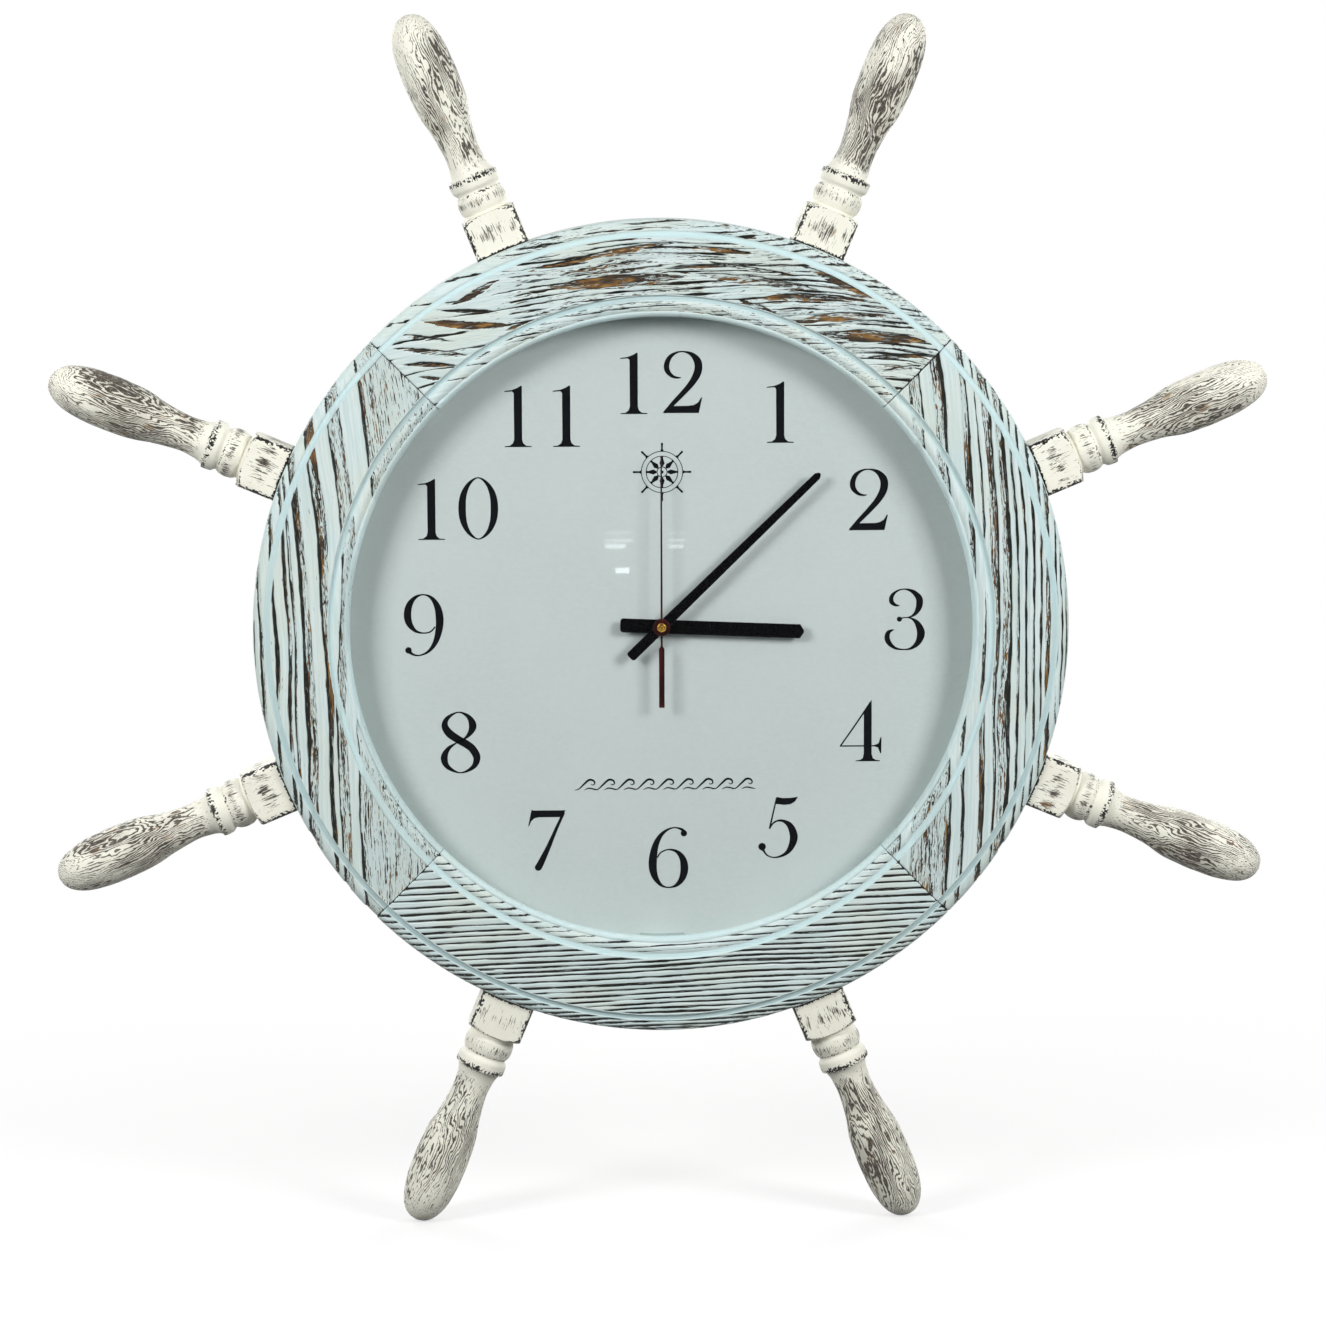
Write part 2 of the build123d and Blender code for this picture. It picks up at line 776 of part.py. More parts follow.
for name, angle in (("right", 0), ("top", 90), ("left", 180), ("bottom", 270)):
    quarter = rim_quarter(angle)
    if name == "top":
        quarter -= hanger_recess()
    write("rim_" + name, quarter)
write("mitre_splines", Compound([turned_to(45 + 90 * number, spline_bar(0.0)) for number in range(4)]))
one_handle = handle()
for number, angle in enumerate(handle_angles()):
    write("handle_" + str(number + 1), turned_to(angle, one_handle))
write("hanger_plate", hanger_plate())

board_hole = bush_radius + bush_clearance
write("glass", rod(disc_radius, glass_front, glass_back))
write("glass_blocks", blocks())
write("dial_face", rod(face_radius, face_front, face_back) - rod(board_hole, face_front, face_back))
write("dial_board", rod(disc_radius, face_back, board_back) - rod(board_hole, face_back, board_back))

write("movement_case", movement_case())
write("movement_lid", movement_lid())
write("circuit_board", circuit_board())
write("quartz_crystal", quartz_crystal())
write("stator", stator())
write("coil", coil())
write("rotor", rotor())
write("fifth_wheel", fifth_wheel())
write("second_wheel", second_wheel())
write("third_wheel", third_wheel())
write("minute_drive_wheel", minute_drive_wheel())
write("cannon_pinion", cannon_pinion())
write("motion_wheel", motion_wheel())
write("hour_wheel", hour_wheel())
write("setting_knob", setting_knob())
write("battery_contacts", battery_contacts())
write("battery", battery())

hour_hand = bar_hand(
    hour_hand_length,
    hour_hand_tail,
    hour_hand_width,
    hour_hand_width,
    hour_tube_radius + hand_fit,
    hour_hand_back,
)
write("hour_hand", clockwise(hour_hand_angle, hour_hand))
minute_hand = bar_hand(
    minute_hand_length,
    minute_hand_tail,
    minute_hand_width,
    minute_hand_tip_width,
    cannon_radius + hand_fit,
    minute_hand_back,
)
write("minute_hand", clockwise(minute_hand_angle, minute_hand))
write("hand_nut", hand_nut())
write("second_hand", clockwise(second_hand_angle, second_hand()))
write("second_hand_boss", second_hand_boss())
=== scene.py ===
import math
import bpy
import numpy as np
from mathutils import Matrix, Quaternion, Vector
from mathutils.kdtree import KDTree


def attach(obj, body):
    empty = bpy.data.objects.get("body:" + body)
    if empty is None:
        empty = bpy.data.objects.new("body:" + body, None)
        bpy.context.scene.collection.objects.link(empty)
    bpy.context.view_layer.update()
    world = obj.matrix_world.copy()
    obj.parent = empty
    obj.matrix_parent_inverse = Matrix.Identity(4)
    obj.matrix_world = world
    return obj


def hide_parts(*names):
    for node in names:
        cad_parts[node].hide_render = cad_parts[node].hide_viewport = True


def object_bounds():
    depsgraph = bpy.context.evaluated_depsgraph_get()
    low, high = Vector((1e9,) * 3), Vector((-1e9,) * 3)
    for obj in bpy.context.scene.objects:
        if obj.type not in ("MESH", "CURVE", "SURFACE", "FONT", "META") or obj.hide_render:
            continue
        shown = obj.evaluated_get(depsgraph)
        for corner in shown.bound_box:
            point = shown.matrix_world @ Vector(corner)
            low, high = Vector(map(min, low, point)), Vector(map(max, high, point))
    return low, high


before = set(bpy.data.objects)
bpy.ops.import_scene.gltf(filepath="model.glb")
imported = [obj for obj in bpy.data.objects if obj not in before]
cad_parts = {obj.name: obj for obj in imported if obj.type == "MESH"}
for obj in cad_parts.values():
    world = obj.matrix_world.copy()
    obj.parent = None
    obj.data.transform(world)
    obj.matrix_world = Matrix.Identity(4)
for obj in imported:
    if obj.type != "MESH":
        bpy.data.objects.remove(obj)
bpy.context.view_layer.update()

# Sizes are in millimetres and turned to metres when a mesh is made.
# X is to the right, Y to the back and Z up; the hands turn on the Y axis.
mm = 0.001
fullTurn = 2 * math.pi
scene = bpy.context.scene


def linearColour(text):
    parts = [int(text[i:i + 2], 16) / 255 for i in (1, 3, 5)]
    return (*(p / 12.92 if p <= 0.04045 else ((p + 0.055) / 1.055) ** 2.4 for p in parts), 1.0)


def addNode(tree, kind, settings={}, links={}):
    node = tree.nodes.new(kind)
    for name, value in settings.items():
        if name == "stops":  # a colour ramp's places and hex colours
            ramp = node.color_ramp
            while len(ramp.elements) < len(value):
                ramp.elements.new(0.5)
            for stop, (place, colour) in zip(ramp.elements, value):
                stop.position, stop.color = place, linearColour(colour)
        elif isinstance(name, str) and name[0].islower():
            setattr(node, name, value)
        else:
            isColour = isinstance(value, str) and value.startswith("#")
            node.inputs[name].default_value = linearColour(value) if isColour else value
    for name, source in links.items():  # a node stands for its first output
        tree.links.new(source.outputs[0] if isinstance(source, bpy.types.Node) else source, node.inputs[name])
    return node


def emptyTree(owner):
    owner.use_nodes = True
    owner.node_tree.nodes.clear()
    return owner.node_tree


def newFinish(name, shader, attribute=None):
    # a material with one Principled shader, whose uniform values sit on its own sockets, and the place that its
    # patterns follow: the object's own, or the one kept in an attribute
    finish = bpy.data.materials.new(name)
    tree = emptyTree(finish)
    surface = addNode(tree, "ShaderNodeBsdfPrincipled", shader)
    addNode(tree, "ShaderNodeOutputMaterial", links={"Surface": surface})
    if attribute:
        place = addNode(tree, "ShaderNodeAttribute", {"attribute_name": attribute}).outputs["Vector"]
    else:
        place = addNode(tree, "ShaderNodeTexCoord").outputs["Object"]
    return finish, tree, surface, place


def dress(tree, surface, colour=None, shine=None, relief=None):
    # what varies over a finish: its colour, (mask, roughness at 0, at 1), (height, strength, depth in mm)
    if colour is not None:
        tree.links.new(colour, surface.inputs["Base Color"])
    if shine:
        rough = addNode(tree, "ShaderNodeMapRange", {"To Min": shine[1], "To Max": shine[2]}, {"Value": shine[0]})
        tree.links.new(rough.outputs[0], surface.inputs["Roughness"])
    if relief:
        settings = {"Strength": relief[1], "Distance": relief[2] * mm}
        bump = addNode(tree, "ShaderNodeBump", settings, {"Height": relief[0]})
        tree.links.new(bump.outputs[0], surface.inputs["Normal"])


def eased(tree, value, low, high, start=0.0):
    # from the start to 1 between two values, without a corner
    settings = {"interpolation_type": "SMOOTHSTEP", "From Min": low, "From Max": high, "To Min": start}
    return addNode(tree, "ShaderNodeMapRange", settings, {"Value": value})


def grainMask(tree, place, size, low, high, detail=2.0, distortion=0.0):
    # 0 to 1 from noise whose marks are about this many mm along, across and deep
    sizes = size if isinstance(size, (tuple, list)) else (size,) * 3
    perMark = [1 / (s * mm) for s in sizes]
    stretched = addNode(tree, "ShaderNodeVectorMath", {"operation": "MULTIPLY", 1: perMark}, {0: place})
    settings = {"Scale": 1.0, "Detail": detail, "Distortion": distortion}
    noise = addNode(tree, "ShaderNodeTexNoise", settings, {"Vector": stretched})
    return eased(tree, noise, low, high)


def layered(tree, base, layers):
    # colours laid one over the other, each through its mask, and how strongly
    result = base
    for mask, strength, colour in layers:
        share = mask
        if strength != 1:
            share = addNode(tree, "ShaderNodeMath", {"operation": "MULTIPLY", 1: strength}, {0: mask})
        settings, links = {"data_type": "RGBA"}, {0: share}
        for socket, value in ((6, result), (7, colour)):
            (settings if isinstance(value, str) else links)[socket] = value
        result = addNode(tree, "ShaderNodeMix", settings, links).outputs[2]
    return result


def worn(tree, amount, noise, softness=0.1):
    # where the wear, 0 to 1, uncovers: noise of 0 to 2 sets in its marks as the wear grows
    reached = addNode(tree, "ShaderNodeMath", {"operation": "MULTIPLY_ADD", 1: 2.0}, {0: amount, 2: noise})
    return eased(tree, reached, 2.05 - softness, 2.05 + softness)


def added(tree, base, *shares):
    # the base and a share of each further value
    for value, share in shares:
        base = addNode(tree, "ShaderNodeMath", {"operation": "MULTIPLY_ADD", 1: share}, {0: value, 2: base})
    return base


def smoothStep(low, high, value):
    share = np.clip((value - low) / (high - low), 0.0, 1.0)
    return share * share * (3 - 2 * share)


def swell(along, across, seed, length, width, count=9):
    # smooth random rise and fall of about -1 to 1, with these lengths in mm
    draw = np.random.default_rng(seed)
    turns, scales, starts = (draw.uniform(*limits, count) for limits in ((0, fullTurn), (0.6, 1.7), (0, fullTurn)))
    total = 0.0
    for turn, scale, start in zip(turns, scales, starts):
        waves = along * (math.cos(turn) * scale / length) + across * (math.sin(turn) * scale / width)
        total = total + np.sin(fullTurn * waves + start)
    return total / math.sqrt(count)


def finishMesh(mesh, sharpAngle):
    mesh.update()
    count = len(mesh.vertices)
    points = np.empty(count * 3)
    mesh.vertices.foreach_get("co", points)
    mesh.calc_loop_triangles()
    corners = np.empty(len(mesh.loop_triangles) * 3, int)
    mesh.loop_triangles.foreach_get("vertices", corners)
    a, b, c = points.reshape(-1, 3)[corners.reshape(-1, 3)].transpose(1, 0, 2)
    if np.sum(a * np.cross(b, c)) < 0:  # faces point inwards
        mesh.flip_normals()
    mesh.polygons.foreach_set("use_smooth", [True] * len(mesh.polygons))
    mesh.set_sharp_from_angle(angle=math.radians(sharpAngle))


def makePiece(name, points, faces, finish, attributes={}, sharpAngle=40):
    mesh = bpy.data.meshes.new(name)
    mesh.from_pydata((np.asarray(points, float) * mm).tolist(), [], faces)
    for label, values in attributes.items():
        mesh.attributes.new(label, "FLOAT_VECTOR", "POINT").data.foreach_set("vector", values.ravel())
    finishMesh(mesh, sharpAngle)
    mesh.materials.append(finish)
    piece = bpy.data.objects.new(name, mesh)
    scene.collection.objects.link(piece)
    return piece


def tubeFaces(rings, count, ends="flat"):
    # quads between rings of count points; the ends are flat, or fans to the two points after the rings
    ring, number = np.meshgrid(np.arange(rings - 1), np.arange(count), indexing="ij")
    a, b = (ring * count + number).ravel(), (ring * count + (number + 1) % count).ravel()
    faces = np.column_stack([a, b, b + count, a + count]).tolist()
    last = (rings - 1) * count
    if ends == "flat":
        return faces + [list(range(count))[::-1], list(range(last, last + count))]
    for number in range(count):
        after = (number + 1) % count
        faces += [[after, number, last + count], [last + number, last + after, last + count + 1]]
    return faces


def mirrored(side):
    return [*side, *((-x, z) for x, z in side[::-1])]


def prism(outline, front, back, chamfer=0.0):
    # points and faces of a plate along Y from its outline in X and Z, its front edge cut back
    outline = np.asarray(outline, float)
    side = np.roll(outline, -1, 0) - outline
    side /= np.linalg.norm(side, axis=1)[:, None]
    outward = np.column_stack([side[:, 1], -side[:, 0]])
    corner = outward + np.roll(outward, 1, 0)
    corner /= np.maximum(np.sum(corner * outward, 1), 0.3)[:, None]
    after = np.roll(outline, -1, 0)
    area = np.sum(outline[:, 0] * after[:, 1] - after[:, 0] * outline[:, 1])
    inset = outline - corner * chamfer * (1 if area > 0 else -1)
    rings = [(inset, front), (outline, front + chamfer)] if chamfer else [(outline, front)]
    rings.append((outline, back))
    points = [np.column_stack([ring[:, 0], np.full(len(outline), y), ring[:, 1]]) for ring, y in rings]
    return np.concatenate(points), tubeFaces(len(rings), len(outline))


def joinParts(parts):
    points, faces, start = [], [], 0
    for partPoints, partFaces in parts:
        points.append(np.asarray(partPoints, float))
        faces += [[n + start for n in face] for face in partFaces]
        start += len(partPoints)
    return np.concatenate(points), faces


def settle(piece, body, slot, *nodes):
    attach(piece, body)
    if nodes:
        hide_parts(*nodes)


# ---- finishes of the painted wood ----

# Rim: pine brushed so that its soft grain sinks, stained brown, limed pale aqua and rubbed back. Matt chalky
# paint on the ridges; in the hollows a greyer paint that is painted shade, and a dark line along the outer side that is
# partly dark wax and partly painted shade, then fibres of wood and lime.
aqua = {
    "paint": "#c9dcdb", "paintLight": "#dfebea", "paintWarm": "#d6ddd0", "paintPooled": "#c4e1e5",
    # greyer paint in the grain's hollows: painted shade
    "sunkShade": "#b4c4c2",
    "stain": ((0.16, "#15130e"), (0.4, "#2c2419"), (0.6, "#4b371f"), (0.76, "#6b4c26"), (0.94, "#986f31")),
    "darkWaxAndShade": "#15160f", "rawWood": ((0.3, "#553a24"), (0.7, "#80593a")),
    "marks": {  # size in mm, from and to which noise, detail
        "fibre": ((26, 0.62, 0.62), 0.3, 0.7, 3.0), "fleck": ((4.0, 0.55, 0.55), 0.3, 0.7),
        "drift": ((40, 4.5, 4.5), 0.32, 0.68), "brush": ((50, 1.4, 1.4), 0.38, 0.62),
        "tone": ((45, 22, 22), 0.4, 0.66), "hair": ((24, 0.55, 0.55), 0.56, 0.7, 3.0),
        "limed": ((10, 0.45, 0.45), 0.62, 0.68, 3.0), "warmth": ((18, 4, 4), 0.38, 0.68)},
}
aquaLimedPine, tree, surface, place = newFinish("aquaLimewashedPine", {"Roughness": 0.6, "IOR": 1.46}, "grainPlace")
wear, coat = (
    addNode(tree, "ShaderNodeAttribute", {"attribute_name": name}).outputs["Vector"] for name in ("wear", "coat"))
inside, toOuter, line = addNode(tree, "ShaderNodeSeparateXYZ", links={0: wear}).outputs
hollowWear, ridgeWear, pooled = addNode(tree, "ShaderNodeSeparateXYZ", links={0: coat}).outputs
fibre, fleck, drift, brush, tone, hair, limed, warmth = (
    grainMask(tree, place, *mark) for mark in aqua["marks"].values())
hollow = eased(tree, added(tree, inside, (fibre, 0.45)), 0.1, 0.35)
share = addNode(tree, "ShaderNodeMapRange", {"To Min": 0.5, "To Max": 1.25}, {"Value": drift})
width = addNode(tree, "ShaderNodeMath", {"operation": "MULTIPLY"}, {0: line, 1: share})
beyond = addNode(tree, "ShaderNodeMath", {"operation": "SUBTRACT"}, {0: toOuter, 1: width})
# the dark line along each hollow's outer side: partly dark wax, partly painted shade in the groove
near = eased(tree, added(tree, beyond, (fleck, 0.4)), 0.34, 0.12)
waxAndShade = addNode(tree, "ShaderNodeMath", {"operation": "MULTIPLY"}, {0: near, 1: hollow})
scratched = addNode(tree, "ShaderNodeMath", {"operation": "MULTIPLY", 1: 2.6, "use_clamp": True}, {0: ridgeWear})
scratched = addNode(tree, "ShaderNodeMath", {"operation": "MULTIPLY"}, {0: scratched, 1: hair})
amount = addNode(tree, "ShaderNodeMix", {"data_type": "FLOAT"}, {0: hollow, 2: ridgeWear, 3: hollowWear})
gather = addNode(tree, "ShaderNodeMapRange", {"To Min": 0.55, "To Max": 1.45}, {"Value": drift})
amount = addNode(tree, "ShaderNodeMath", {"operation": "MULTIPLY"}, {0: amount, 1: gather})
bare = worn(tree, amount, added(tree, fleck, (fibre, 1.0)), 0.06)
stained = addNode(tree, "ShaderNodeMath", {"operation": "MULTIPLY", 1: 0.26}, {0: amount})
stained = added(tree, stained, (warmth, 0.45), (fleck, 0.3))
wood = addNode(tree, "ShaderNodeValToRGB", {"stops": aqua["stain"]}, {0: stained})
raw = addNode(tree, "ShaderNodeValToRGB", {"stops": aqua["rawWood"]}, {0: fibre})
behind = addNode(tree, "ShaderNodeMath", {"operation": "MULTIPLY", 1: -1.0, "use_clamp": True}, {0: pooled})
# in the hollows the sunk tone is painted shade, and the dark wax layer is partly painted shade
colour = layered(tree, aqua["paint"], [
    (brush, 0.7, aqua["paintLight"]), (tone, 0.5, aqua["paintWarm"]), (pooled, 0.65, aqua["paintPooled"]),
    (hollow, 0.35, aqua["sunkShade"]), (scratched, 0.7, aqua["darkWaxAndShade"]), (bare, 1, wood), (waxAndShade, 1, aqua["darkWaxAndShade"]),
    (limed, 0.5, aqua["paint"]), (behind, 1, raw)])
dress(tree, surface, colour, (waxAndShade, 0.6, 0.42), (added(tree, fibre, (bare, -0.7)), 0.4, 0.25))

# Handles: turned pine in cream chalk paint, brushed so that the growth rings show as fine dark lines that loop over
# the grip; dark wax on edges, and at the foot a dark band that is partly painted shade, brown wood where the paint is
# through, a grey veil where it is thin.
cream = {
    "paint": "#f4f3e5", "paintLight": "#f8f7ed", "paintWarm": "#ebe6d0", "veil": "#b9b6a8", "tan": "#a58a5f",
    "stain": ((0.25, "#1b1815"), (0.6, "#3d352c"), (0.92, "#75695a")), "patch": "#80582f", "darkWaxAndShade": "#191714",
    "ringPitch": 1.3, "ringTilt": (0, 0.55, 0.84), "ringBend": 4.2, "ringWaver": 0.8,
    "marks": {
        "bend": ((34, 9, 9), 0.2, 0.8), "waver": ((8, 2.4, 2.4), 0.2, 0.8),
        "chips": ((1.7, 1.1, 1.1), 0.36, 0.64, 3.0), "fibre": ((7.0, 0.6, 0.6), 0.3, 0.7, 3.0, 0.8),
        "fleck": ((1.8, 0.5, 0.5), 0.3, 0.7), "cloud": ((26, 11, 11), 0.3, 0.7), "spots": ((13, 6, 6), 0.62, 0.72)},
}
creamChalkWood, tree, surface, place = newFinish("creamChalkPaintedWood", {"Roughness": 0.6, "IOR": 1.46}, "grainPlace")
wear = addNode(tree, "ShaderNodeAttribute", {"attribute_name": "wear"}).outputs["Vector"]
rubbed, edges, looped = addNode(tree, "ShaderNodeSeparateXYZ", links={0: wear}).outputs
bend, waver, chips, fibre, fleck, cloud, spots = (grainMask(tree, place, *mark) for mark in cream["marks"].values())
perPitch = [fullTurn / (cream["ringPitch"] * mm) * share for share in cream["ringTilt"]]
growth = addNode(tree, "ShaderNodeVectorMath", {"operation": "DOT_PRODUCT", 1: perPitch}, {0: place}).outputs["Value"]
growth = added(tree, growth, (bend, fullTurn * cream["ringBend"]), (waver, fullTurn * cream["ringWaver"]))
rings = addNode(tree, "ShaderNodeMath", {"operation": "SINE"}, {0: growth})
rings = addNode(tree, "ShaderNodeMapRange", {"From Min": -0.9, "From Max": 0.9}, {"Value": rings})
lay = addNode(tree, "ShaderNodeMix", {"data_type": "FLOAT"}, {0: looped, 2: fibre, 3: rings})
streaks = addNode(tree, "ShaderNodeMath", {"operation": "MULTIPLY", 1: 1.35}, {0: lay})
streaks = added(tree, streaks, (fibre, 0.35), (fleck, 0.3))
gather = addNode(tree, "ShaderNodeMapRange", {"To Min": 0.62, "To Max": 1.25}, {"Value": cloud})
amount = addNode(tree, "ShaderNodeMath", {"operation": "MULTIPLY"}, {0: rubbed, 1: gather})
bare = worn(tree, amount, streaks, 0.09)
# dark wax on edges, and at the foot partly painted shade
waxAndShade = worn(tree, edges, addNode(tree, "ShaderNodeMath", {"operation": "MULTIPLY", 1: 1.6}, {0: chips}))
thin = eased(tree, amount, 0.3, 0.6)
through = addNode(tree, "ShaderNodeMath", {"operation": "MULTIPLY"}, {0: thin, 1: spots})
stain = addNode(tree, "ShaderNodeValToRGB", {"stops": cream["stain"]}, {0: fleck})
wood = layered(tree, stain.outputs[0], [(spots, 0.5, cream["patch"])])
colour = layered(tree, cream["paint"], [
    (cloud, 0.6, cream["paintLight"]), (fibre, 0.3, cream["paintWarm"]), (thin, 0.5, cream["veil"]),
    (through, 0.7, cream["tan"]), (bare, 0.95, wood), (waxAndShade, 1, cream["darkWaxAndShade"])])
dress(tree, surface, colour, (waxAndShade, 0.6, 0.45), (added(tree, lay, (bare, -0.6)), 0.35, 0.25))

# ---- the rim's four quarters ----

rim = {
    "mitreGap": 0.03,  # degrees left open at each end of a quarter
    "columns": 500,
    "jointWidth": 0.4,  # dark wax gathers there, beside each mitre
    "reliefDepth": 0.8,
    "sideSlant": 0.3,  # how far the grain leans through the rim's thickness
    "front": 23.0, "slantFrom": -17, "unevenness": 0.04,
    "beadHeight": 1.3,
    # radius and place to reach, in how many rows, bend, how deep the grain lies, how far paint filled it (-1: bare)
    "section": (
        (226.1, -23.0, 96, "line", 1.0, 0.0), (226.5, -22.3, 3, "line", 0.3, 0.4),
        (229.4, -20.7, 8, "steep", 0.06, 1.0), (229.9, -21.1, 3, "line", 0.1, 0.6),
        (236.3, -16.4, 16, "level", 1.0, 0.1), (236.3, 22.0, 14, "line", 0.6, 0.0),
        (235.3, 23.0, 3, "steep", 0.2, 0.0), (234.9, 23.0, 2, "line", 0.1, 0.0),
        (187.5, 23.0, 8, "line", 0.05, -1.0), (187.5, -0.9, 2, "line", 0.0, -1.0),
        (187.5, -15.0, 3, "line", 0.0, 0.2), (180.5, -15.0, 2, "line", 0.0, 0.2),
        (180.5, -16.5, 2, "line", 0.0, 0.6), (183.3, -20.4, 9, "steep", 0.3, 0.6),
        (183.7, -20.2, 2, "line", 0.1, 0.5), (190.2, -20.9, 14, "bead", 0.9, 0.0),
        (192.4, -21.3, 5, "line", 0.06, 1.0), (193.1, -23.0, 5, "line", 0.1, 0.6)),
}


def rimRows():
    rows, (radius, place) = [], rim["section"][-1][:2]
    for nextRadius, nextPlace, count, bend, strength, filled in rim["section"]:
        share = np.arange(count) / count
        turn = share * math.pi / 2
        run = {"steep": 1 - np.cos(turn), "level": np.sin(turn)}.get(bend, share)
        rise = {"steep": np.sin(turn), "level": 1 - np.cos(turn)}.get(bend, share)
        height = rim["beadHeight"] * np.sin(math.pi * share) if bend == "bead" else 0 * share
        rows.append(np.column_stack([
            radius + (nextRadius - radius) * run, place + (nextPlace - place) * rise - height,
            np.full(count, strength), np.full(count, filled)]))
        radius, place = nextRadius, nextPlace
    return np.concatenate(rows)


def evenBands(first, last, firstPitch, lastPitch, width, wear, line, seed):
    # hollows between ridges, from the inside out, their pitch changing on the way
    draw, bands, place = np.random.default_rng(seed), [], first
    while place < last:
        pitch = firstPitch + (lastPitch - firstPitch) * (place - first) / (last - first)
        wide = width * draw.uniform(0.7, 1.3)
        bands.append((place, place + wide, place, place + wide, wear, line))
        place += pitch * draw.uniform(0.82, 1.18)
    return bands


# Bands are hollows that run the whole quarter: inner and outer place across the grain at its start
# and at its end, how worn they are, and how wide the dark line along their outer side is. Lenses are
# short hollows: along and across of one end, of the other end, half width, worn, dark line. Along runs
# to the right, or up. Base is how worn the ridges are. From the first to the second place of sparse, two bands
# of three end and the ridges come clean.
evenGrain = {
    "bendStart": 0.0, "bendEnd": 0.0, "ragged": 0.15, "fadeLength": 60, "base": 0.04, "sparse": (-900, -1000),
    "lenses": ()}
rimGrain = {
    "top": {
        **evenGrain, "angle": 90, "along": (1, 0), "tilt": -0.06, "bendStart": 0.0005, "bendEnd": 0.0005, "wander": 1.3,
        "ragged": 0.22, "fade": 0.55, "base": 0.24, "seed": 11, "sparse": (-80, -104),
        "bands": evenBands(126, 240, 3.5, 3.0, 1.05, 0.6, 1.1, 5),
        "lenses": (
            (-77, 209, 10, 223, 1.8, 0.85, 0.9), (-120, 189, -93, 202, 1.9, 0.85, 0.3),
            (-66, 198, 14, 203, 4.2, 1.05, 0.4), (-3, 207, 60, 212, 1.3, 0.7, 1.2),
            (17, 221.5, 52, 218.6, 1.7, 0.8, 1.2), (-72, 180, -20, 191, 1.6, 0.8, 0.7),
            (-128, 185, -96, 186, 1.2, 0.6, 1.2), (-137, 177.5, -84, 176.5, 2.2, 0.95, 0.3),
            (-90, 173, -70, 180, 1.5, 0.8, 0.5), (-154, 163, -109, 160.5, 1.7, 0.8, 1.2),
            (-152, 170, -118, 168, 1.1, 0.6, 1.2), (-112, 158, -97, 162.6, 1.6, 0.8, 0.6),
            (-150, 153.5, -117, 154, 1.5, 0.75, 1.2), (-140, 146.5, -122, 143.6, 1.2, 0.7, 0.6),
            (26, 212.5, 80, 203, 1.5, 0.6, 0.9), (80, 210, 124, 191, 2.4, 0.9, 0.5),
            (43, 191, 74, 178, 1.8, 0.8, 0.6), (74, 178, 130, 181, 2.4, 0.8, 0.5),
            (88, 170.5, 153, 165.5, 3.6, 0.85, 0.5), (115, 155, 163, 158, 1.3, 0.6, 0.9),
            (126, 147, 150, 151.4, 1.1, 0.6, 0.9), (20, 205, 90, 195, 3.0, 0.5, 0.5),
            (-60, 205, -5, 211, 2.6, 0.45, 0.4), (54, 190.5, 118, 190, 2.4, 0.75, 0.5),
            (-50, 213, 40, 215, 2.2, 0.36, 0.0))},
    "right": {
        **evenGrain, "angle": 0, "along": (0, 1), "tilt": 0.0, "bendStart": 0.00015, "bendEnd": 0.0004, "wander": 0.7,
        "fade": 0.3, "seed": 21,
        "bands": (
            (128, 141, 149, 157, 0.45, 1.0), (147, 169.5, 163.5, 169.5, 0.42, 1.6),
            (174.5, 177, 178.5, 183, 0.55, 1.4), (184.5, 188, 187, 188, 0.8, 1.0),
            (193.3, 195, 190.5, 195.5, 0.5, 0.9), (196.0, 202.4, 197.6, 202.6, 0.5, 2.0),
            (205.2, 206.8, 205.4, 207, 0.6, 1.4), (210.2, 211.6, 210.2, 211.6, 0.6, 1.3),
            (214.9, 216.5, 214.9, 216.5, 0.6, 1.4), (219.3, 220.7, 219.3, 220.7, 0.6, 1.3),
            (222.6, 225.2, 222.6, 225.2, 0.7, 0.8), (228.5, 229.6, 228.5, 229.6, 0.5, 1.0),
            (231.5, 232.5, 231.5, 232.5, 0.5, 1.0), (234.2, 235.2, 234.2, 235.2, 0.5, 1.0))},
    "bottom": {
        **evenGrain, "angle": 270, "along": (1, 0), "tilt": 0.045, "wander": 0.35, "ragged": 0.08, "fade": 0.16,
        "fadeLength": 36, "base": 0.03, "seed": 31, "bands": evenBands(124, 246, 4.4, 2.4, 1.3, 0.6, 2.2, 7)},
    "left": {
        **evenGrain, "angle": 180, "along": (0, 1), "tilt": -0.03, "bendEnd": -0.00045, "wander": 0.6, "fade": 0.25,
        "seed": 41, "lenses": ((-62, 190.6, 34, 194.4, 2.1, 0.95, 0.4),),
        "bands": (
            (120, 178.5, 110, 161.5, 0.34, 1.2), (184, 190.5, 173, 182, 0.42, 1.2),
            (193.0, 195.6, 190.0, 195.8, 0.7, 1.6), (201.6, 208, 203, 208.5, 0.55, 2.2),
            (211.9, 213.4, 211.7, 213.4, 0.6, 1.1), (214.8, 217, 214.8, 217, 0.6, 1.2),
            (221.7, 223.8, 221.7, 223.8, 0.6, 1.5), (229.8, 232.3, 229.8, 232.3, 0.5, 1.4),
            (235, 236.2, 235, 236.2, 0.6, 1.0))},
}


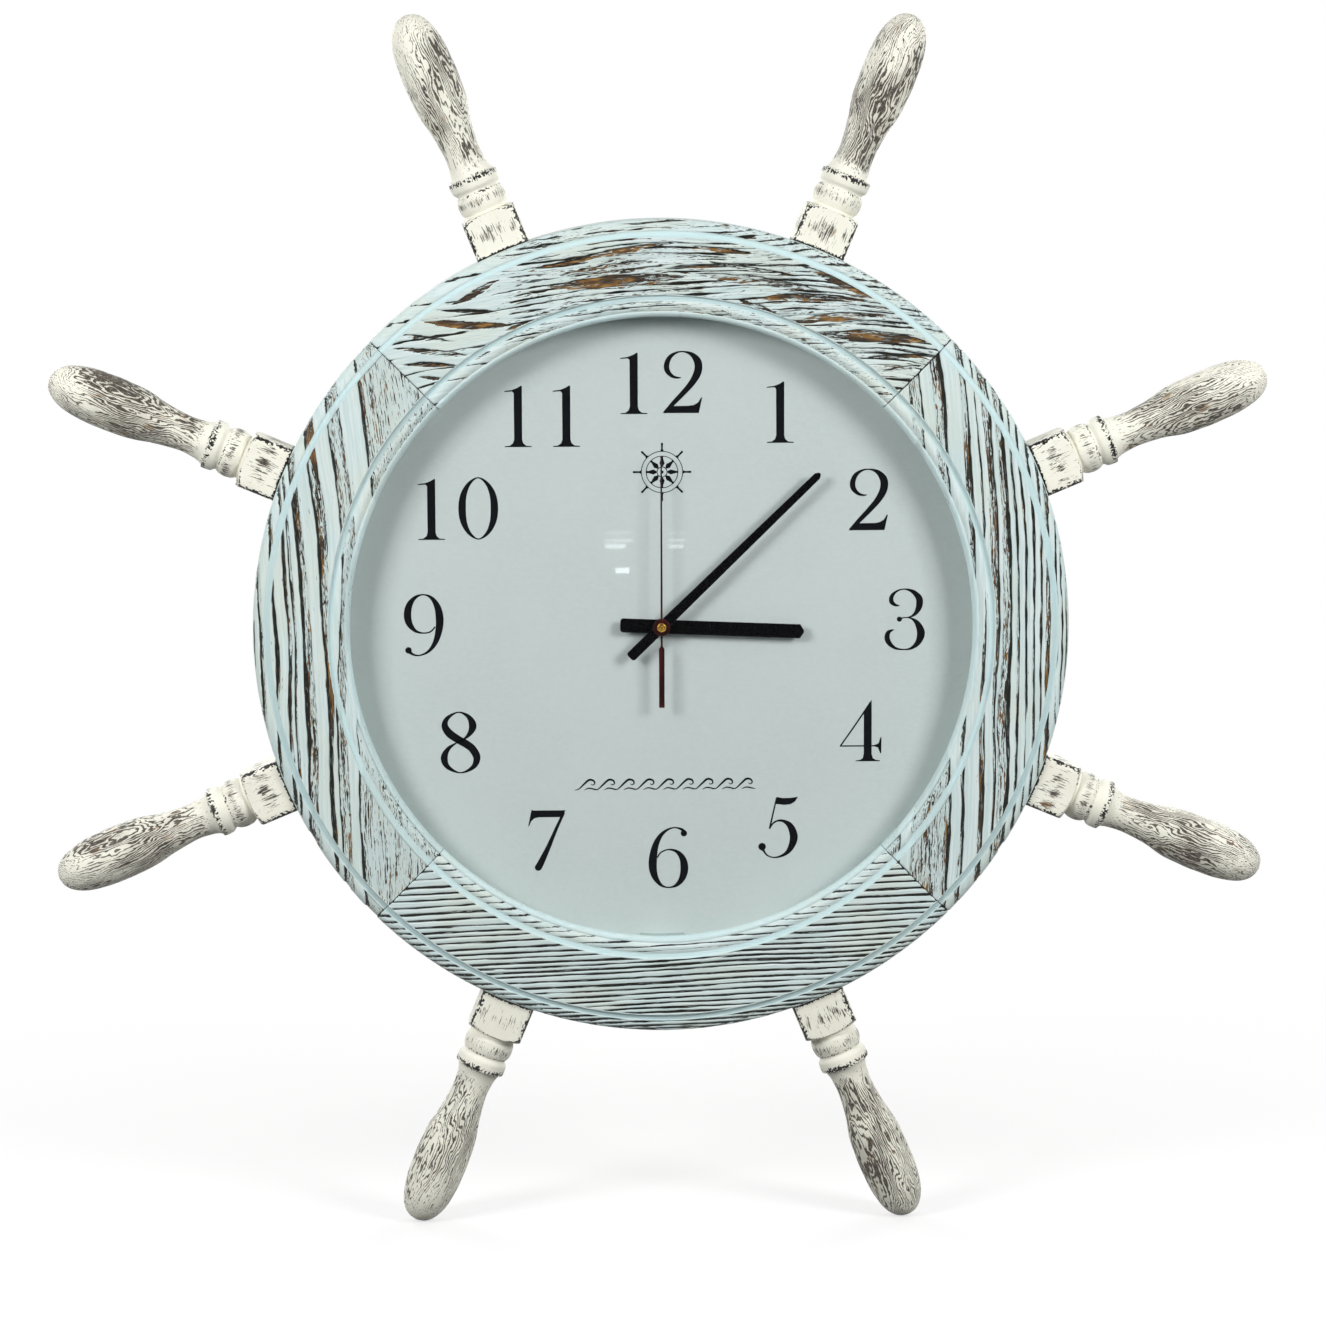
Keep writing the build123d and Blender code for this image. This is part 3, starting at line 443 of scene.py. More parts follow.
def grainRelief(look, along, across):
    # at each point: how far inside a hollow, how far from its outer side, its dark line and wear, and the grain's place
    seed = look["seed"]
    level = (across + look["wander"] * swell(along, across, seed, 120, 34)
             + look["ragged"] * swell(along, across, seed + 1, 16, 3.2))
    place = (level + look["tilt"] * along + look["bendEnd"] * np.maximum(along, 0) ** 2
             + look["bendStart"] * np.minimum(along, 0) ** 2)
    blend = smoothStep(-60, 60, along)
    sparse = smoothStep(*look["sparse"], along)
    hollows = []
    for number, (startLow, startHigh, endLow, endHigh, wear, line) in enumerate(look["bands"]):
        low = startLow + (endLow - startLow) * blend
        high = startHigh + (endHigh - startHigh) * blend
        vanish = look["fade"] * np.maximum(swell(along, number * 37.0, seed + 2, look["fadeLength"], 90), 0)
        vanish = vanish + 2 * sparse * (number % 3 > 0)
        hollows.append((np.minimum(place - low, high - place) - vanish, high - place - vanish, wear, line))
    for startAlong, startAcross, endAlong, endAcross, halfWidth, wear, line in look["lenses"]:
        share = (along - startAlong) / (endAlong - startAlong)
        half = halfWidth * 4 * share * (1 - share)
        middle = startAcross + (endAcross - startAcross) * share
        hollows.append((half - np.abs(level - middle), half + middle - level, wear, line))
    inside, toOuter, line, wear = (np.full(along.shape, value) for value in (-3.0, 3.0, 0.0, 0.0))
    for hollowInside, hollowOuter, hollowWear, hollowLine in hollows:
        nearer = hollowInside > inside
        inside[nearer], toOuter[nearer] = hollowInside[nearer], hollowOuter[nearer]
        line[nearer], wear[nearer] = hollowLine, hollowWear
    return inside, toOuter, line, wear, place


def rimQuarter(name, look):
    rows = rimRows()
    radius, depth, strength, filled = rows.T
    count, columns = len(rows), rim["columns"]
    # each row's outward direction in the section
    slope = np.roll(rows[:, :2], -1, 0) - np.roll(rows[:, :2], 1, 0)
    slope /= np.linalg.norm(slope, axis=1)[:, None]
    outward = np.column_stack([slope[:, 1], -slope[:, 0]])
    half = 45 - rim["mitreGap"]
    offMiddle = np.linspace(-half, half, columns)
    turn = np.radians(look["angle"] + offMiddle)[:, None]
    x, z = radius * np.cos(turn), radius * np.sin(turn)
    middle = math.radians(look["angle"])
    lean = (depth + rim["front"]) * rim["sideSlant"] * (depth > rim["slantFrom"])
    across = x * math.cos(middle) + z * math.sin(middle) - lean
    along = x * look["along"][0] + z * look["along"][1]
    inside, toOuter, line, wear, place = grainRelief(look, along, across)
    inside = inside - 2.5 * (1 - strength)
    joint = np.radians(half - np.abs(offMiddle))[:, None] * radius < rim["jointWidth"]
    inside, toOuter, line = (np.where(joint, here, rest) for here, rest in ((0.5, inside), (0.2, toOuter), (1.2, line)))
    groove = smoothStep(-0.3, 0.5, inside) * strength
    sunk = rim["reliefDepth"] * groove + rim["unevenness"] * strength * swell(along, across, look["seed"] + 3, 12, 1.6)
    ringRadius = radius - outward[:, 0] * sunk
    ringDepth = depth - outward[:, 1] * sunk
    ridges = look["base"] * strength * (1 - 0.8 * smoothStep(*look["sparse"], along))
    points, wearData, coatData, placeData = (np.stack(parts, -1).reshape(-1, 3) for parts in (
        (ringRadius * np.cos(turn), ringDepth + 0 * turn, ringRadius * np.sin(turn)), (inside, toOuter, line),
        (wear * strength, ridges, filled + 0 * wear), (along, place, depth + 0 * along)))
    data = {"wear": wearData, "coat": coatData, "grainPlace": placeData * mm + look["seed"] * 0.1}
    return makePiece(name, points, tubeFaces(columns, count), aquaLimedPine, data, 72)


# The hanger's recess in the top quarter's back, and the pocket for the wall screw's head: X, Y and Z from and to.
hangerCuts = (((-25.1, 25.1), (21.5, 24.5), (200.8, 223.0)), ((-6.0, 6.0), (14.0, 24.5), (201.9, 218.1)))


def cutBox(piece, sizes):
    # takes a box out of the piece; the marks of the points that stay are copied over, new ones are bare wood
    corners = [(x * mm, y * mm, z * mm) for x in sizes[0] for y in sizes[1] for z in sizes[2]]
    sides = [(0, 1, 3, 2), (4, 6, 7, 5), (0, 4, 5, 1), (2, 3, 7, 6), (0, 2, 6, 4), (1, 5, 7, 3)]
    toolMesh = bpy.data.meshes.new("recess")
    toolMesh.from_pydata(corners, [], sides)
    tool = bpy.data.objects.new("recess", toolMesh)
    scene.collection.objects.link(tool)
    modifier = piece.modifiers.new("cut", "BOOLEAN")
    modifier.operation, modifier.solver, modifier.object = "DIFFERENCE", "EXACT", tool
    result = bpy.data.meshes.new_from_object(piece.evaluated_get(bpy.context.evaluated_depsgraph_get()))
    piece.modifiers.remove(modifier)
    bpy.data.objects.remove(tool)
    old = piece.data
    tree = KDTree(len(old.vertices))
    for number, vertex in enumerate(old.vertices):
        tree.insert(vertex.co, number)
    tree.balance()
    found = [tree.find(vertex.co) for vertex in result.vertices]
    index = np.array([item[1] for item in found])
    fresh = np.array([item[2] for item in found]) > 0.01 * mm
    for label, bare in (("wear", (-3.0, 3.0, 0.0)), ("coat", (0.0, 0.0, -1.0)), ("grainPlace", None)):
        values = np.empty(len(old.vertices) * 3)
        old.attributes[label].data.foreach_get("vector", values)
        values = values.reshape(-1, 3)[index]
        if bare:
            values[fresh] = bare
        mark = result.attributes.get(label) or result.attributes.new(label, "FLOAT_VECTOR", "POINT")
        mark.data.foreach_set("vector", values.ravel())
    piece.data = result
    bpy.data.meshes.remove(old)


for side, look in rimGrain.items():
    quarter = rimQuarter(f"rimWood.{side}", look)
    for sizes in hangerCuts if side == "top" else ():
        cutBox(quarter, sizes)
    settle(quarter, "root", "aqua_wood", f"rim_{side}")
print("rim quarters made")

# ---- the eight turned handles ----

handle = {
    "rimRadius": 236.3, "blockHalf": 16.0, "blockEnd": 260.2, "tipPlace": 381.0, "columns": 96,
    "rubbing": (0.96, 1.15, 0.95, 1.2, 1.0, 0.8, 1.1, 1.1),  # how worn each one is
    # where the block's corners are turned away: distance from the wheel's centre, radius
    "pommel": ((236.0, 24.0), (254.0, 23.4), (257.6, 20.5), (259.4, 17.4), (260.2, 14.2)),
    # the turned part, in runs that meet at sharp lines
    "turned": (
        ((260.2, 13.0), (261.2, 12.75), (262.0, 12.9)),
        ((262.0, 13.3), (264.2, 14.2), (267.6, 14.5), (271.2, 13.9), (273.2, 12.7)),
        ((273.2, 12.6), (273.8, 12.5), (274.4, 12.9), (276.4, 14.4), (280.2, 14.7), (282.0, 14.5)),
        ((282.1, 13.6), (284.0, 12.2), (288.5, 11.0), (296.0, 10.4), (304.0, 10.9), (312.0, 12.2), (322.0, 14.2),
         (332.0, 15.4), (342.0, 15.8), (352.0, 15.6), (360.0, 14.9), (367.0, 13.6), (373.0, 11.4), (377.5, 8.3),
         (380.0, 4.9), (381.0, 1.6))),
}


def smoothRun(knots, step):
    # a curve through the knots that never overshoots them
    places, values = np.array(knots, float).T
    width, rise = np.diff(places), np.diff(values)
    slope = rise / width
    before, after = slope[:-1], slope[1:]
    inner = np.where(before * after > 0, 2 * before * after / (before + after + 1e-12), 0.0)
    tangent = np.concatenate([[slope[0]], inner, [slope[-1]]])
    at = np.linspace(places[0], places[-1], max(2, int(round((places[-1] - places[0]) / step)) + 1))
    cell = np.clip(np.searchsorted(places, at) - 1, 0, len(width) - 1)
    t = (at - places[cell]) / width[cell]
    rest = values[cell] * (1 + 2 * t) * (1 - t) ** 2 + values[cell + 1] * t * t * (3 - 2 * t)
    return at, rest + width[cell] * (tangent[cell] * t * (1 - t) ** 2 + tangent[cell + 1] * t * t * (t - 1))


def bell(value, middle, width):
    return np.exp(-((value - middle) / width) ** 2)


def handleBlank():
    # one handle along X, its foot cut to the rim; points, faces and wear: how rubbed, how waxed or shaded at the foot,
    # how looped
    turn = np.linspace(0, fullTurn, handle["columns"], endpoint=False)
    cosine, sine = np.cos(turn), np.sin(turn)
    power = 14  # of the rounded square
    square = handle["blockHalf"] / (np.abs(cosine) ** power + np.abs(sine) ** power) ** (1 / power)
    rings, marks = [], []
    pommelPlaces, pommelRadii = smoothRun(handle["pommel"], 0.8)
    for place, radius in zip(pommelPlaces, pommelRadii):
        size = np.minimum(square, radius)
        foot = np.sqrt(handle["rimRadius"] ** 2 - (size * sine) ** 2) + 0.05
        share = (place - pommelPlaces[0]) / (handle["blockEnd"] - pommelPlaces[0])
        rings.append(np.column_stack([foot + (handle["blockEnd"] - foot) * share, size * cosine, size * sine]))
        corner = smoothStep(0.88, 0.955, square / (handle["blockHalf"] * math.sqrt(2))) ** 3
        corner = corner * (1 + 0.25 * swell(turn * 16, place + 0 * turn, 75, 9, 12))
        cut = bell(square, radius, 0.9) * (place > 250) * (1 + 0.25 * swell(turn * 9, place + 0 * turn, 76, 7, 20))
        patch = bell(place, 247.5, 5.0) * (1 - smoothStep(1.15, 1.38, square / handle["blockHalf"]))
        patch = patch * (0.7 + 0.45 * swell(turn * 16, place + 0 * turn, 74, 9, 12))
        # wax on the corners and the turned edge; at the foot, where the handle meets the rim, a dark band that is
        # partly painted shade
        waxAndShade = np.maximum.reduce([corner * 1.15, cut * 0.95, bell(place, pommelPlaces[0], 1.1) * 1.5 + 0 * corner])
        marks.append(np.column_stack([0.1 + 0.55 * patch, waxAndShade, 0.35 + 0 * patch]))
    for number, run in enumerate(handle["turned"]):
        isGrip = number == 3
        for place, radius in zip(*smoothRun(run, 1.1 if isGrip else 0.8)):
            bumps = 0.12 * swell(turn * 5, place + 0 * turn, 77, 6.5, 26) if isGrip and place < 379 else 0 * turn
            rings.append(np.column_stack([place + 0 * turn, (radius + bumps) * cosine, (radius + bumps) * sine]))
            grip = smoothStep(280, 294, place) * (0.47 - 0.21 * smoothStep(356, 378, place))
            grip = grip * (1 + 0.2 * swell(turn * 4.5, place + 0 * turn, 78, 22, 60))
            ring = 0.8 * bell(place, 281.0, 1.9) + 0.5 * bell(place, 272.4, 0.9)
            ring = ring * (1 + 0.35 * swell(turn * 8, place + 0 * turn, 79, 8, 60))
            looped = min(max((place - 284) / 14, 0.2), 0.85)
            marks.append(np.column_stack([grip + 0.42 * bell(place, 268.0, 3.4), ring, looped + 0 * turn]))
    points = np.concatenate([*rings, [[handle["rimRadius"] + 0.05, 0, 0], [handle["tipPlace"], 0, 0]]])
    wear = np.concatenate([*marks, [marks[0][0], marks[-1][0]]])
    return points, tubeFaces(len(rings), handle["columns"], "fans"), wear


def openTree(name, **inputs):
    # a Geometry Nodes tree with named inputs; gives the tree and its ends
    tree = bpy.data.node_groups.new(name, "GeometryNodeTree")
    for label, kind in {"Geometry": "Geometry", **inputs}.items():
        tree.interface.new_socket(label, in_out="INPUT", socket_type=f"NodeSocket{kind}")
    tree.interface.new_socket("Geometry", in_out="OUTPUT", socket_type="NodeSocketGeometry")
    return tree, addNode(tree, "NodeGroupInput"), addNode(tree, "NodeGroupOutput")


def closeTree(tree, start, end, geometry):
    plain = addNode(tree, "GeometryNodeRealizeInstances", links={"Geometry": geometry})
    dressed = addNode(tree, "GeometryNodeSetMaterial", links={"Geometry": plain, "Material": start.outputs["Finish"]})
    tree.links.new(dressed.outputs[0], end.inputs[0])
    return tree


def aroundAxis():
    # a tree that sets the seed piece evenly around the hands' axis, then moves all
    tree, start, end = openTree("aroundAxis", Count="Int", FirstAngle="Float", Middle="Vector", Finish="Material")
    spots = addNode(tree, "GeometryNodePoints", {"Radius": 0.001}, {"Count": start.outputs["Count"]})
    index = addNode(tree, "GeometryNodeInputIndex")
    step = addNode(tree, "ShaderNodeMath", {"operation": "DIVIDE", 0: fullTurn}, {1: start.outputs["Count"]})
    angle = {0: index, 1: step, 2: start.outputs["FirstAngle"]}
    angle = addNode(tree, "ShaderNodeMath", {"operation": "MULTIPLY_ADD"}, angle)
    spin = addNode(tree, "ShaderNodeCombineXYZ", links={"Y": angle})
    spread = {"Points": spots, "Instance": start.outputs["Geometry"], "Rotation": spin}
    spread = addNode(tree, "GeometryNodeInstanceOnPoints", links=spread)
    moved = addNode(tree, "GeometryNodeTransform", links={"Geometry": spread, "Translation": start.outputs["Middle"]})
    return closeTree(tree, start, end, moved)


def grow(name, tree, seed, finish, sharpAngle=40, **values):
    # runs a tree on a seed mesh and keeps the plain result
    piece = bpy.data.objects.new("seed", seed)
    scene.collection.objects.link(piece)
    modifier = piece.modifiers.new("shape", "NODES")
    modifier.node_group = tree
    values["Finish"] = finish
    for socket in tree.interface.items_tree:
        if socket.in_out == "INPUT" and socket.name in values:
            modifier[socket.identifier] = values[socket.name]
    result = bpy.data.meshes.new_from_object(piece.evaluated_get(bpy.context.evaluated_depsgraph_get()))
    piece.modifiers.remove(modifier)
    bpy.data.objects.remove(piece)
    result.name = name
    finishMesh(result, sharpAngle)
    piece = bpy.data.objects.new(name, result)
    scene.collection.objects.link(piece)
    return piece


tree, start, end = openTree("handleOnRim", Angle="Float", PatternShift="Vector", Rubbing="Vector", Finish="Material")
position = addNode(tree, "GeometryNodeInputPosition")
shifted = addNode(tree, "ShaderNodeVectorMath", {"operation": "ADD"}, {0: position, 1: start.outputs["PatternShift"]})
oldWear = addNode(tree, "GeometryNodeInputNamedAttribute", {"data_type": "FLOAT_VECTOR", "Name": "wear"})
newWear = addNode(tree, "ShaderNodeVectorMath", {"operation": "MULTIPLY"}, {0: oldWear, 1: start.outputs["Rubbing"]})
stored = start.outputs["Geometry"]
for name, value in (("grainPlace", shifted), ("wear", newWear)):
    settings = {"data_type": "FLOAT_VECTOR", "domain": "POINT", "Name": name}
    stored = addNode(tree, "GeometryNodeStoreNamedAttribute", settings, {"Geometry": stored, "Value": value})
backwards = addNode(tree, "ShaderNodeMath", {"operation": "MULTIPLY", 1: -1.0}, {0: start.outputs["Angle"]})
turned = addNode(tree, "ShaderNodeCombineXYZ", links={"Y": backwards})
placed = addNode(tree, "GeometryNodeTransform", links={"Geometry": stored, "Rotation": turned})
handleTree = closeTree(tree, start, end, placed)

points, faces, wear = handleBlank()
blank = makePiece("handleBlank", points, faces, creamChalkWood, {"wear": wear})
for number, rubbing in enumerate(handle["rubbing"]):
    piece = grow(f"turnedHandle.{number + 1}", handleTree, blank.data, creamChalkWood, 50,
                 Angle=math.radians(22.5 + 45 * number), Rubbing=Vector((rubbing, 1, 1)),
                 PatternShift=Vector((0.31 * number, 0.17 * number, 0.23 * number)))
    settle(piece, "root", "cream_wood", f"handle_{number + 1}")
bpy.data.objects.remove(blank)
print("handles made")

# ---- the dial's printing ----

dial = {
    "faceFront": 1.0, "inkFront": 0.97,  # the paper's and the ink's front along Y
    "layerStep": 0.01,  # each stroke of a digit lies this much over the one before
    "numeralHeight": 36.4,
    # middle of each numeral: X and Z
    "numerals": {
        "1": (69.0, 124.6), "2": (120.8, 72.9), "3": (142.1, 2.8), "4": (116.7, -62.6), "5": (68.3, -119.7),
        "6": (3.9, -137.0), "7": (-67.3, -126.0), "8": (-117.5, -67.9), "9": (-138.5, 1.3), "10": (-119.8, 69.2),
        "11": (-69.05, 122.9), "12": (-1.6, 141.7)},
    "digitSpread": {"10": 0.76, "11": 0.768, "12": 0.787},  # from digit to digit, in heights
}
# In thousandths of a digit's height: strokes and closed loops of (across, up, half width), flat shapes, balls
digits = {
    "0": [("loop", (0, 990, 10), (140, 900, 28), (232, 720, 50), (257, 500, 60), (232, 280, 50), (140, 100, 28),
        (0, 10, 10), (-140, 100, 28), (-232, 280, 50), (-257, 500, 60), (-232, 720, 50), (-140, 900, 28))],
    "1": [("shape", (-50, 120), (-53, 860), (-80, 885), (-200, 878), (-203, 893), (-80, 910), (0, 940), (66, 980),
        (77, 970), (77, 120), (95, 60), (140, 22), (228, 15), (230, 0), (-200, 0), (-198, 15), (-120, 22),
        (-70, 60))],
    "2": [("stroke", (-20, 582, 6), (-70, 575, 15), (-160, 600, 26), (-235, 680, 40), (-250, 780, 43),
        (-200, 900, 34), (-90, 975, 16), (30, 988, 12), (150, 945, 34), (235, 850, 58), (257, 745, 62),
        (232, 630, 60), (150, 490, 50), (20, 340, 42), (-130, 185, 36), (-235, 70, 30), (-290, 20, 22)),
        ("shape", (-318, 13), (-160, 125), (100, 128), (180, 140), (250, 180), (300, 262), (316, 260), (262, 13))],
    "3": [("stroke", (-76, 723, 6), (-140, 730, 22), (-205, 785, 36), (-200, 875, 32), (-120, 955, 16), (0, 987, 11),
        (130, 950, 30), (225, 860, 50), (246, 774, 55), (225, 670, 45), (165, 580, 25), (80, 535, 11), (-20, 525, 10),
        (-70, 505, 24)),
        ("stroke", (60, 530, 10), (140, 500, 20), (220, 420, 45), (270, 277, 63), (225, 130, 46), (120, 35, 22),
        (-10, 12, 11), (-150, 40, 22), (-250, 130, 40), (-275, 220, 42), (-245, 300, 30), (-164, 335, 6)),
        ("ball", (-78, 503, 42))],
    "4": [("stroke", (-325, 250, 12), (-80, 600, 13), (165, 965, 14)),
        ("shape", (52, 120), (52, 800), (178, 1000), (180, 120), (200, 50), (250, 22), (314, 15), (314, 0), (-78, 0),
        (-78, 15), (-10, 22), (35, 50)),
        ("shape", (-335, 240), (330, 240), (330, 262), (-335, 262)),
        ("shape", (220, 240), (280, 225), (318, 130), (335, 130), (338, 390), (322, 390), (290, 290), (220, 262))],
    "5": [("stroke", (-22, 985, 12), (-80, 730, 13), (-137, 480, 14)),
        ("stroke", (-130, 490, 10), (-85, 565, 13), (0, 612, 15), (100, 600, 26), (200, 520, 50), (255, 353, 64),
        (215, 190, 50), (120, 70, 27), (-40, 12, 12), (-170, 45, 12), (-235, 130, 20), (-262, 175, 45)),
        ("shape", (-26, 1000), (-35, 885), (100, 868), (200, 878), (270, 920), (322, 995), (310, 998), (200, 982),
        (80, 980)),
        ("ball", (-257, 190, 61))],
    "6": [("stroke", (262, 900, 35), (220, 955, 22), (100, 988, 11), (-30, 945, 20), (-140, 840, 36), (-220, 660, 54),
        (-254, 420, 67), (-230, 220, 54), (-130, 60, 26), (0, 12, 11), (130, 50, 28), (225, 170, 52), (257, 330, 63),
        (225, 490, 50), (130, 600, 26), (0, 630, 12), (-120, 585, 12), (-180, 500, 12)),
        ("ball", (250, 895, 52))],
    "7": [("stroke", (275, 950, 22), (140, 660, 27), (20, 380, 38), (-90, 150, 52), (-143, 50, 56)),
        ("shape", (-245, 1000), (-222, 983), (304, 983), (226, 872), (-130, 872), (-200, 855), (-250, 810),
        (-288, 725), (-302, 728)),
        ("ball", (-143, 55, 56))],
    "8": [("loop", (-20, 540, 62), (-170, 645, 64), (-248, 773, 52), (-200, 900, 32), (-30, 990, 11), (130, 920, 34),
        (199, 780, 61), (160, 660, 42), (70, 565, 18), (-70, 490, 13), (-200, 395, 34), (-262, 248, 56),
        (-200, 100, 36), (0, 10, 11), (200, 100, 36), (262, 248, 58), (200, 385, 62), (100, 470, 62))],
    "9": [("stroke", (190, 470, 12), (110, 390, 12), (-10, 372, 12), (-130, 410, 26), (-220, 520, 50),
        (-250, 660, 60), (-220, 820, 50), (-130, 940, 28), (0, 988, 11), (130, 940, 26), (225, 800, 50),
        (262, 620, 62), (250, 420, 56), (190, 220, 40), (80, 75, 22), (-60, 12, 12), (-160, 25, 18), (-225, 70, 30)),
        ("ball", (-240, 94, 52))],
}


def smoothStroke(knots, closed, steps=7):
    # points through the knots by a cardinal spline
    knots = np.array(knots, float)
    ends = (knots[-1:], knots[:2]) if closed else (knots[:1], knots[-1:])
    padded = np.concatenate([ends[0], knots, ends[1]])
    t = np.arange(steps)[:, None] / steps
    runs = []
    for n in range(1, len(padded) - 2):
        a, b, c, d = padded[n - 1:n + 3]
        runs.append(0.5 * (
            2 * b + (c - a) * t + (2 * a - 5 * b + 4 * c - d) * t ** 2 + (3 * b - a - 3 * c + d) * t ** 3))
    return np.concatenate(runs if closed else [*runs, knots[-1:]])


def stroke(knots, closed, size, middle, front):
    # a flat ribbon of changing width on the paper
    line = smoothStroke(knots, closed)
    ahead = (np.roll(line, -1, 0) - np.roll(line, 1, 0)) if closed else np.gradient(line, axis=0)
    sideways = np.column_stack([-ahead[:, 1], ahead[:, 0]]) / np.linalg.norm(ahead[:, :2], axis=1)[:, None]
    edges = [(line[:, :2] + sign * sideways * line[:, 2:]) * size + middle for sign in (1, -1)]
    count = len(line)
    points = [
        np.column_stack([edge[:, 0], np.full(count, y), edge[:, 1]])
        for y in (front, dial["faceFront"]) for edge in edges]
    faces = []
    for n in range(count if closed else count - 1):
        after = (n + 1) % count
        for a, b in ((0, 1), (3, 2), (2, 0), (1, 3)):  # the four long sides, by which two edges they join
            faces.append([n + a * count, after + a * count, after + b * count, n + b * count])
    if not closed:
        faces += [[0, count, 3 * count, 2 * count], [count - 1, 3 * count - 1, 4 * count - 1, 2 * count - 1]]
    return np.concatenate(points), faces


def circle(middle, radius, count=24):
    turn = np.linspace(0, fullTurn, count, endpoint=False)
    return np.column_stack([middle[0] + radius * np.cos(turn), middle[1] + radius * np.sin(turn)])


def numeralParts(text, middle):
    parts, size = [], dial["numeralHeight"]
    for position, digit in enumerate(text):
        offset = (position - (len(text) - 1) / 2) * dial["digitSpread"].get(text, 0)
        corner = np.array([middle[0] + offset * size, middle[1] - size / 2])
        for layer, (kind, *form) in enumerate(digits[digit]):
            form, front = np.array(form) / 1000, dial["inkFront"] - dial["layerStep"] * layer
            if kind in ("loop", "stroke"):
                parts.append(stroke(form, kind == "loop", size, corner, front))
            else:
                outline = circle(form[0], form[0][2]) if kind == "ball" else form
                parts.append(prism(outline * size + corner, front, dial["faceFront"]))
    return parts


# Ink: near-black printing ink, a little glossier than the paper, with the faintest unevenness.
printedInk, tree, surface, place = newFinish("blackPrintingInk", {"Roughness": 0.5, "Specular IOR Level": 0.15})
dress(tree, surface, layered(tree, "#07080e", [(grainMask(tree, place, 1.4, 0.35, 0.75), 1, "#0f1119")]))

for text, middle in dial["numerals"].items():
    points, faces = joinParts(numeralParts(text, middle))
    settle(makePiece(f"numeral.{text}", points, faces, printedInk), "root", "printed_paper")
print("numerals made")

# ---- small helm wheel and wave line, in place of the dial's device and words ----

helm = {
    "middle": (0.8, 89.8), "rings": ((12.0, 0.45), (9.2, 0.45), (2.9, 0.5)), "hub": 0.9, "count": 8,
    # half width and distance from the middle
    "spoke": ((0.5, 3.2), (1.5, 5.0), (0.55, 8.2), (0.85, 9.1)),
    "grip": ((1.15, 12.0), (0.5, 13.3), (0.62, 16.6), (0.4, 17.0)),
}
axisTree = aroundAxis()
parts = [prism(mirrored(helm[kind]), dial["inkFront"], dial["faceFront"]) for kind in ("spoke", "grip")]
seed = makePiece("seedSpoke", *joinParts(parts), printedInk)
middle = Vector((helm["middle"][0] * mm, 0, helm["middle"][1] * mm))
settle(grow("helmSpokes", axisTree, seed.data, printedInk, Count=helm["count"], Middle=middle), "root", "printed_paper")
bpy.data.objects.remove(seed)
parts = [prism(circle(helm["middle"], helm["hub"]), dial["inkFront"], dial["faceFront"])]
for radius, width in helm["rings"]:
    knots = np.column_stack([circle((0, 0), radius, 16), np.full(16, width / 2)])
    parts.append(stroke(knots, True, 1.0, np.array(helm["middle"]), dial["inkFront"] - dial["layerStep"]))
settle(makePiece("helmRings", *joinParts(parts), printedInk), "root", "printed_paper")

waves = {
    "left": -51.0, "right": 52.8, "height": -93.6, "count": 9, "crest": 6.0, "line": 0.55,
    # in shares of the pitch, the crest and the line: the crest, and the foot that leads to the next one
    "curl": ((0, 0, 0.3), (0.22, 0.12, 0.6), (0.5, 0.62, 1), (0.74, 1.0, 1.15), (0.97, 0.92, 1), (1.02, 0.62, 0.7),
             (0.9, 0.5, 0.5), (0.84, 0.62, 0.3)),
    "foot": ((0.5, 0.0, 0.3), (0.72, 0.18, 0.7), (0.98, 0.1, 0.7), (1.2, 0.02, 0.3)),
}
tree, start, end = openTree("waveLine", Count="Int", Step="Vector", Finish="Material")
row = {"Count": start.outputs["Count"], "Offset": start.outputs["Step"]}
row = addNode(tree, "GeometryNodeMeshLine", {"mode": "OFFSET"}, row)
spread = addNode(tree, "GeometryNodeInstanceOnPoints", links={"Points": row, "Instance": start.outputs["Geometry"]})
waveTree = closeTree(tree, start, end, spread)
pitch = (waves["right"] - waves["left"]) / waves["count"]
corner = np.array([waves["left"], waves["height"] - waves["crest"] / 2])
parts = []
for layer, kind in enumerate(("curl", "foot")):
    knots = np.array(waves[kind]) * (pitch, waves["crest"], waves["line"])
    parts.append(stroke(knots, False, 1.0, corner, dial["inkFront"] - dial["layerStep"] * layer))
seed = makePiece("seedWave", *joinParts(parts), printedInk)
piece = grow("waveLine", waveTree, seed.data, printedInk, Count=waves["count"], Step=Vector((pitch * mm, 0, 0)))
bpy.data.objects.remove(seed)
settle(piece, "root", "printed_paper")
print("helm wheel and waves made")

# ---- hands ----

# Hour and minute hands: stamped aluminium with satin black lacquer, faint orange peel.
blackLacquer, tree, surface, place = newFinish("satinBlackLacquer", {
    "Base Color": "#060608", "Roughness": 0.3, "Specular IOR Level": 0.3, "Coat Weight": 0.1, "Coat Roughness": 0.2})
peel = grainMask(tree, place, 0.9, 0.3, 0.7)
dress(tree, surface, None, (peel, 0.24, 0.36), (peel, 0.1, 0.02))

# Second hand: thin steel with dark maroon enamel, in redder patches.
maroonEnamel, tree, surface, place = newFinish(
    "darkMaroonEnamel", {"Roughness": 0.3, "Coat Weight": 0.5, "Coat Roughness": 0.15})
dress(tree, surface, layered(tree, "#2a0a0d", [(grainMask(tree, place, (3.0, 3.0, 14.0), 0.4, 0.7), 1, "#4c1216")]))

# Boss: lathe-turned brass, fine rings and a little tarnish.
turnedBrass, tree, surface, place = newFinish("turnedBrass", {"Metallic": 1.0, "Roughness": 0.25})
ringScale = 1 / (fullTurn * 0.12 * mm) / 4
rings = addNode(tree, "ShaderNodeTexWave", {
    "wave_type": "RINGS", "rings_direction": "Y", "Scale": ringScale, "Distortion": 0.6}, {"Vector": place})
tarnish = grainMask(tree, place, 1.5, 0.35, 0.75)
dress(tree, surface, layered(tree, "#d9ab52", [(tarnish, 1, "#b98a3a")]), (rings.outputs["Fac"], 0.2, 0.38))

